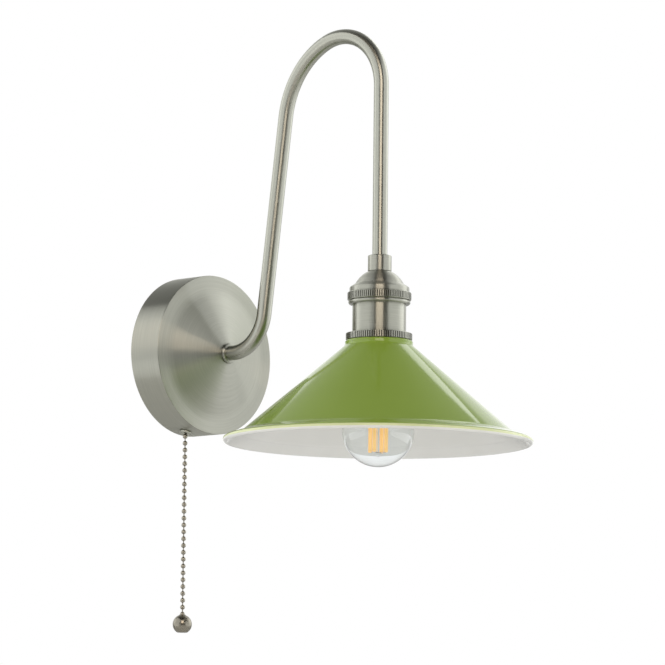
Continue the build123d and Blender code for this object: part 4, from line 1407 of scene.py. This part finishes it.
@dataclass
class Studio:
    """Camera at the photograph's angle, soft lights and a pale floor."""

    lens: float = 216.54
    location: tuple[float, float, float] = (-1816.857, -1838.950, -316.971)
    right: tuple[float, float, float] = (0.684368, -0.729058, 0.010733)
    up: tuple[float, float, float] = (-0.100935, -0.080148, 0.991659)
    back: tuple[float, float, float] = (-0.722117, -0.679743, -0.128439)
    floor: float = -0.75
    aim: tuple[float, float, float] = (0.0, -0.14, 0.0)
    boxes: tuple[Softbox, ...] = (
        Softbox("left_panel", -76, 14, 1.6, 2.4, 2.6, 1.15),
        Softbox("left_edge", -31, 14, 1.6, 0.5, 2.2, 0.55),
        Softbox("right_panel", 84, 12, 1.6, 3.3, 2.6, 1.1),
        Softbox("camera_strip", 1, 22, 2.2, 1.1, 1.2, 3.5, "#ffeede"),
        Softbox("rear_right_window", 149, 48, 0.75, 0.16, 0.3, 2.0),
    )

    def ahead(self) -> Vector:
        """Return the level direction from the lamp to the camera."""
        return Vector((self.back[0], self.back[1], 0.0)).normalized()

    def camera(self) -> None:
        """Put the camera where the photograph was taken from."""
        data = bpy.data.cameras.new("view")
        data.lens, data.sensor_width, data.clip_start, data.clip_end = self.lens, 36.0, 0.05, 50.0
        view = bpy.data.objects.new("view", data)
        turn = Matrix((self.right, self.up, self.back)).transposed().to_4x4()
        view.matrix_world = Matrix.Translation(Vector(self.location) * MM) @ turn
        bpy.context.scene.collection.objects.link(view)
        bpy.context.scene.camera = view

    def world(self) -> None:
        """White behind the light; for reflections a pale backdrop behind and a dark room in front."""
        sky = bpy.data.worlds.new("studio")
        bpy.context.scene.world = sky
        sky.use_nodes = True
        tree = sky.node_tree
        tree.nodes.clear()
        place = add(tree, "ShaderNodeTexCoord")
        parts = add(tree, "ShaderNodeSeparateXYZ", {0: place.outputs["Generated"]})
        ramp = add(tree, "ShaderNodeValToRGB",
                   {0: add(tree, "ShaderNodeMapRange", {0: parts.outputs[2], 1: -1.0, 2: 1.0}).outputs[0]})
        steps = ramp.color_ramp.elements
        steps[0].color, steps[-1].color = linear("#a0a09c"), linear("#8c8c8a")
        for spot, shade in ((0.42, "#c8c8c5"), (0.55, "#d8d8d6"), (0.62, "#f4f4f3"), (0.77, "#f4f4f3"),
                            (0.8, "#b0b0ae")):
            steps.new(spot).color = linear(shade)
        behind = add(tree, "ShaderNodeVectorMath", {0: place.outputs["Generated"], 1: tuple(-self.ahead())},
                     operation="DOT_PRODUCT")
        share = add(tree, "ShaderNodeMapRange", {0: behind.outputs["Value"], 1: -0.1, 2: 0.5},
                    interpolation_type="SMOOTHSTEP")
        room = add(tree, "ShaderNodeMix", {0: share.outputs[0], 6: linear("#383836"), 7: ramp.outputs[0]},
                   data_type="RGBA")
        soft = add(tree, "ShaderNodeBackground", {"Color": room.outputs[2], "Strength": 1.45})
        plain = add(tree, "ShaderNodeBackground", {"Color": (1.0, 1.0, 1.0, 1.0), "Strength": 1.0})
        ray = add(tree, "ShaderNodeLightPath")
        seen = add(tree, "ShaderNodeMath", {0: ray.outputs["Is Camera Ray"],
                                            1: ray.outputs["Is Transmission Ray"]}, operation="MAXIMUM")
        mix = add(tree, "ShaderNodeMixShader", {0: seen.outputs[0], 1: soft.outputs[0], 2: plain.outputs[0]})
        add(tree, "ShaderNodeOutputWorld", {"Surface": mix.outputs[0]})

    def ground(self) -> None:
        """Lay the plain pale floor."""
        plane = bpy.data.meshes.new("pale_floor")
        reach = 6.0
        corners = [(x * reach, y * reach, self.floor) for x, y in ((-1, -1), (1, -1), (1, 1), (-1, 1))]
        plane.from_pydata(corners, [], [(0, 1, 2, 3)])
        floor = bpy.data.objects.new("pale_floor", plane)
        bpy.context.scene.collection.objects.link(floor)
        dress(floor, Moulding("pale_floor_paint", "#e9e9e8", "#f2f2f1", 0.8, 3.0).material())

    def build(self) -> None:
        """Set up the studio."""
        self.camera()
        self.world()
        self.ground()
        for box in self.boxes:
            box.build(self.ahead(), Vector(self.aim))
        bpy.context.scene.view_settings.view_transform = "Standard"


def main() -> None:
    """Build the light and its studio in order."""
    logging.basicConfig(level=logging.INFO, format="%(name)s: %(message)s")
    Studio().build()
    finishes = Finishes()
    switch = PullSwitch(finishes)
    WallRose(finishes).build(switch.place())
    SwanNeckArm(finishes).build()
    LampHolder(finishes).build()
    EnamelShade(finishes).build()
    FilamentLamp(finishes).build()
    switch.build()
    Interior(finishes).build()


if __name__ == "__main__":
    main()
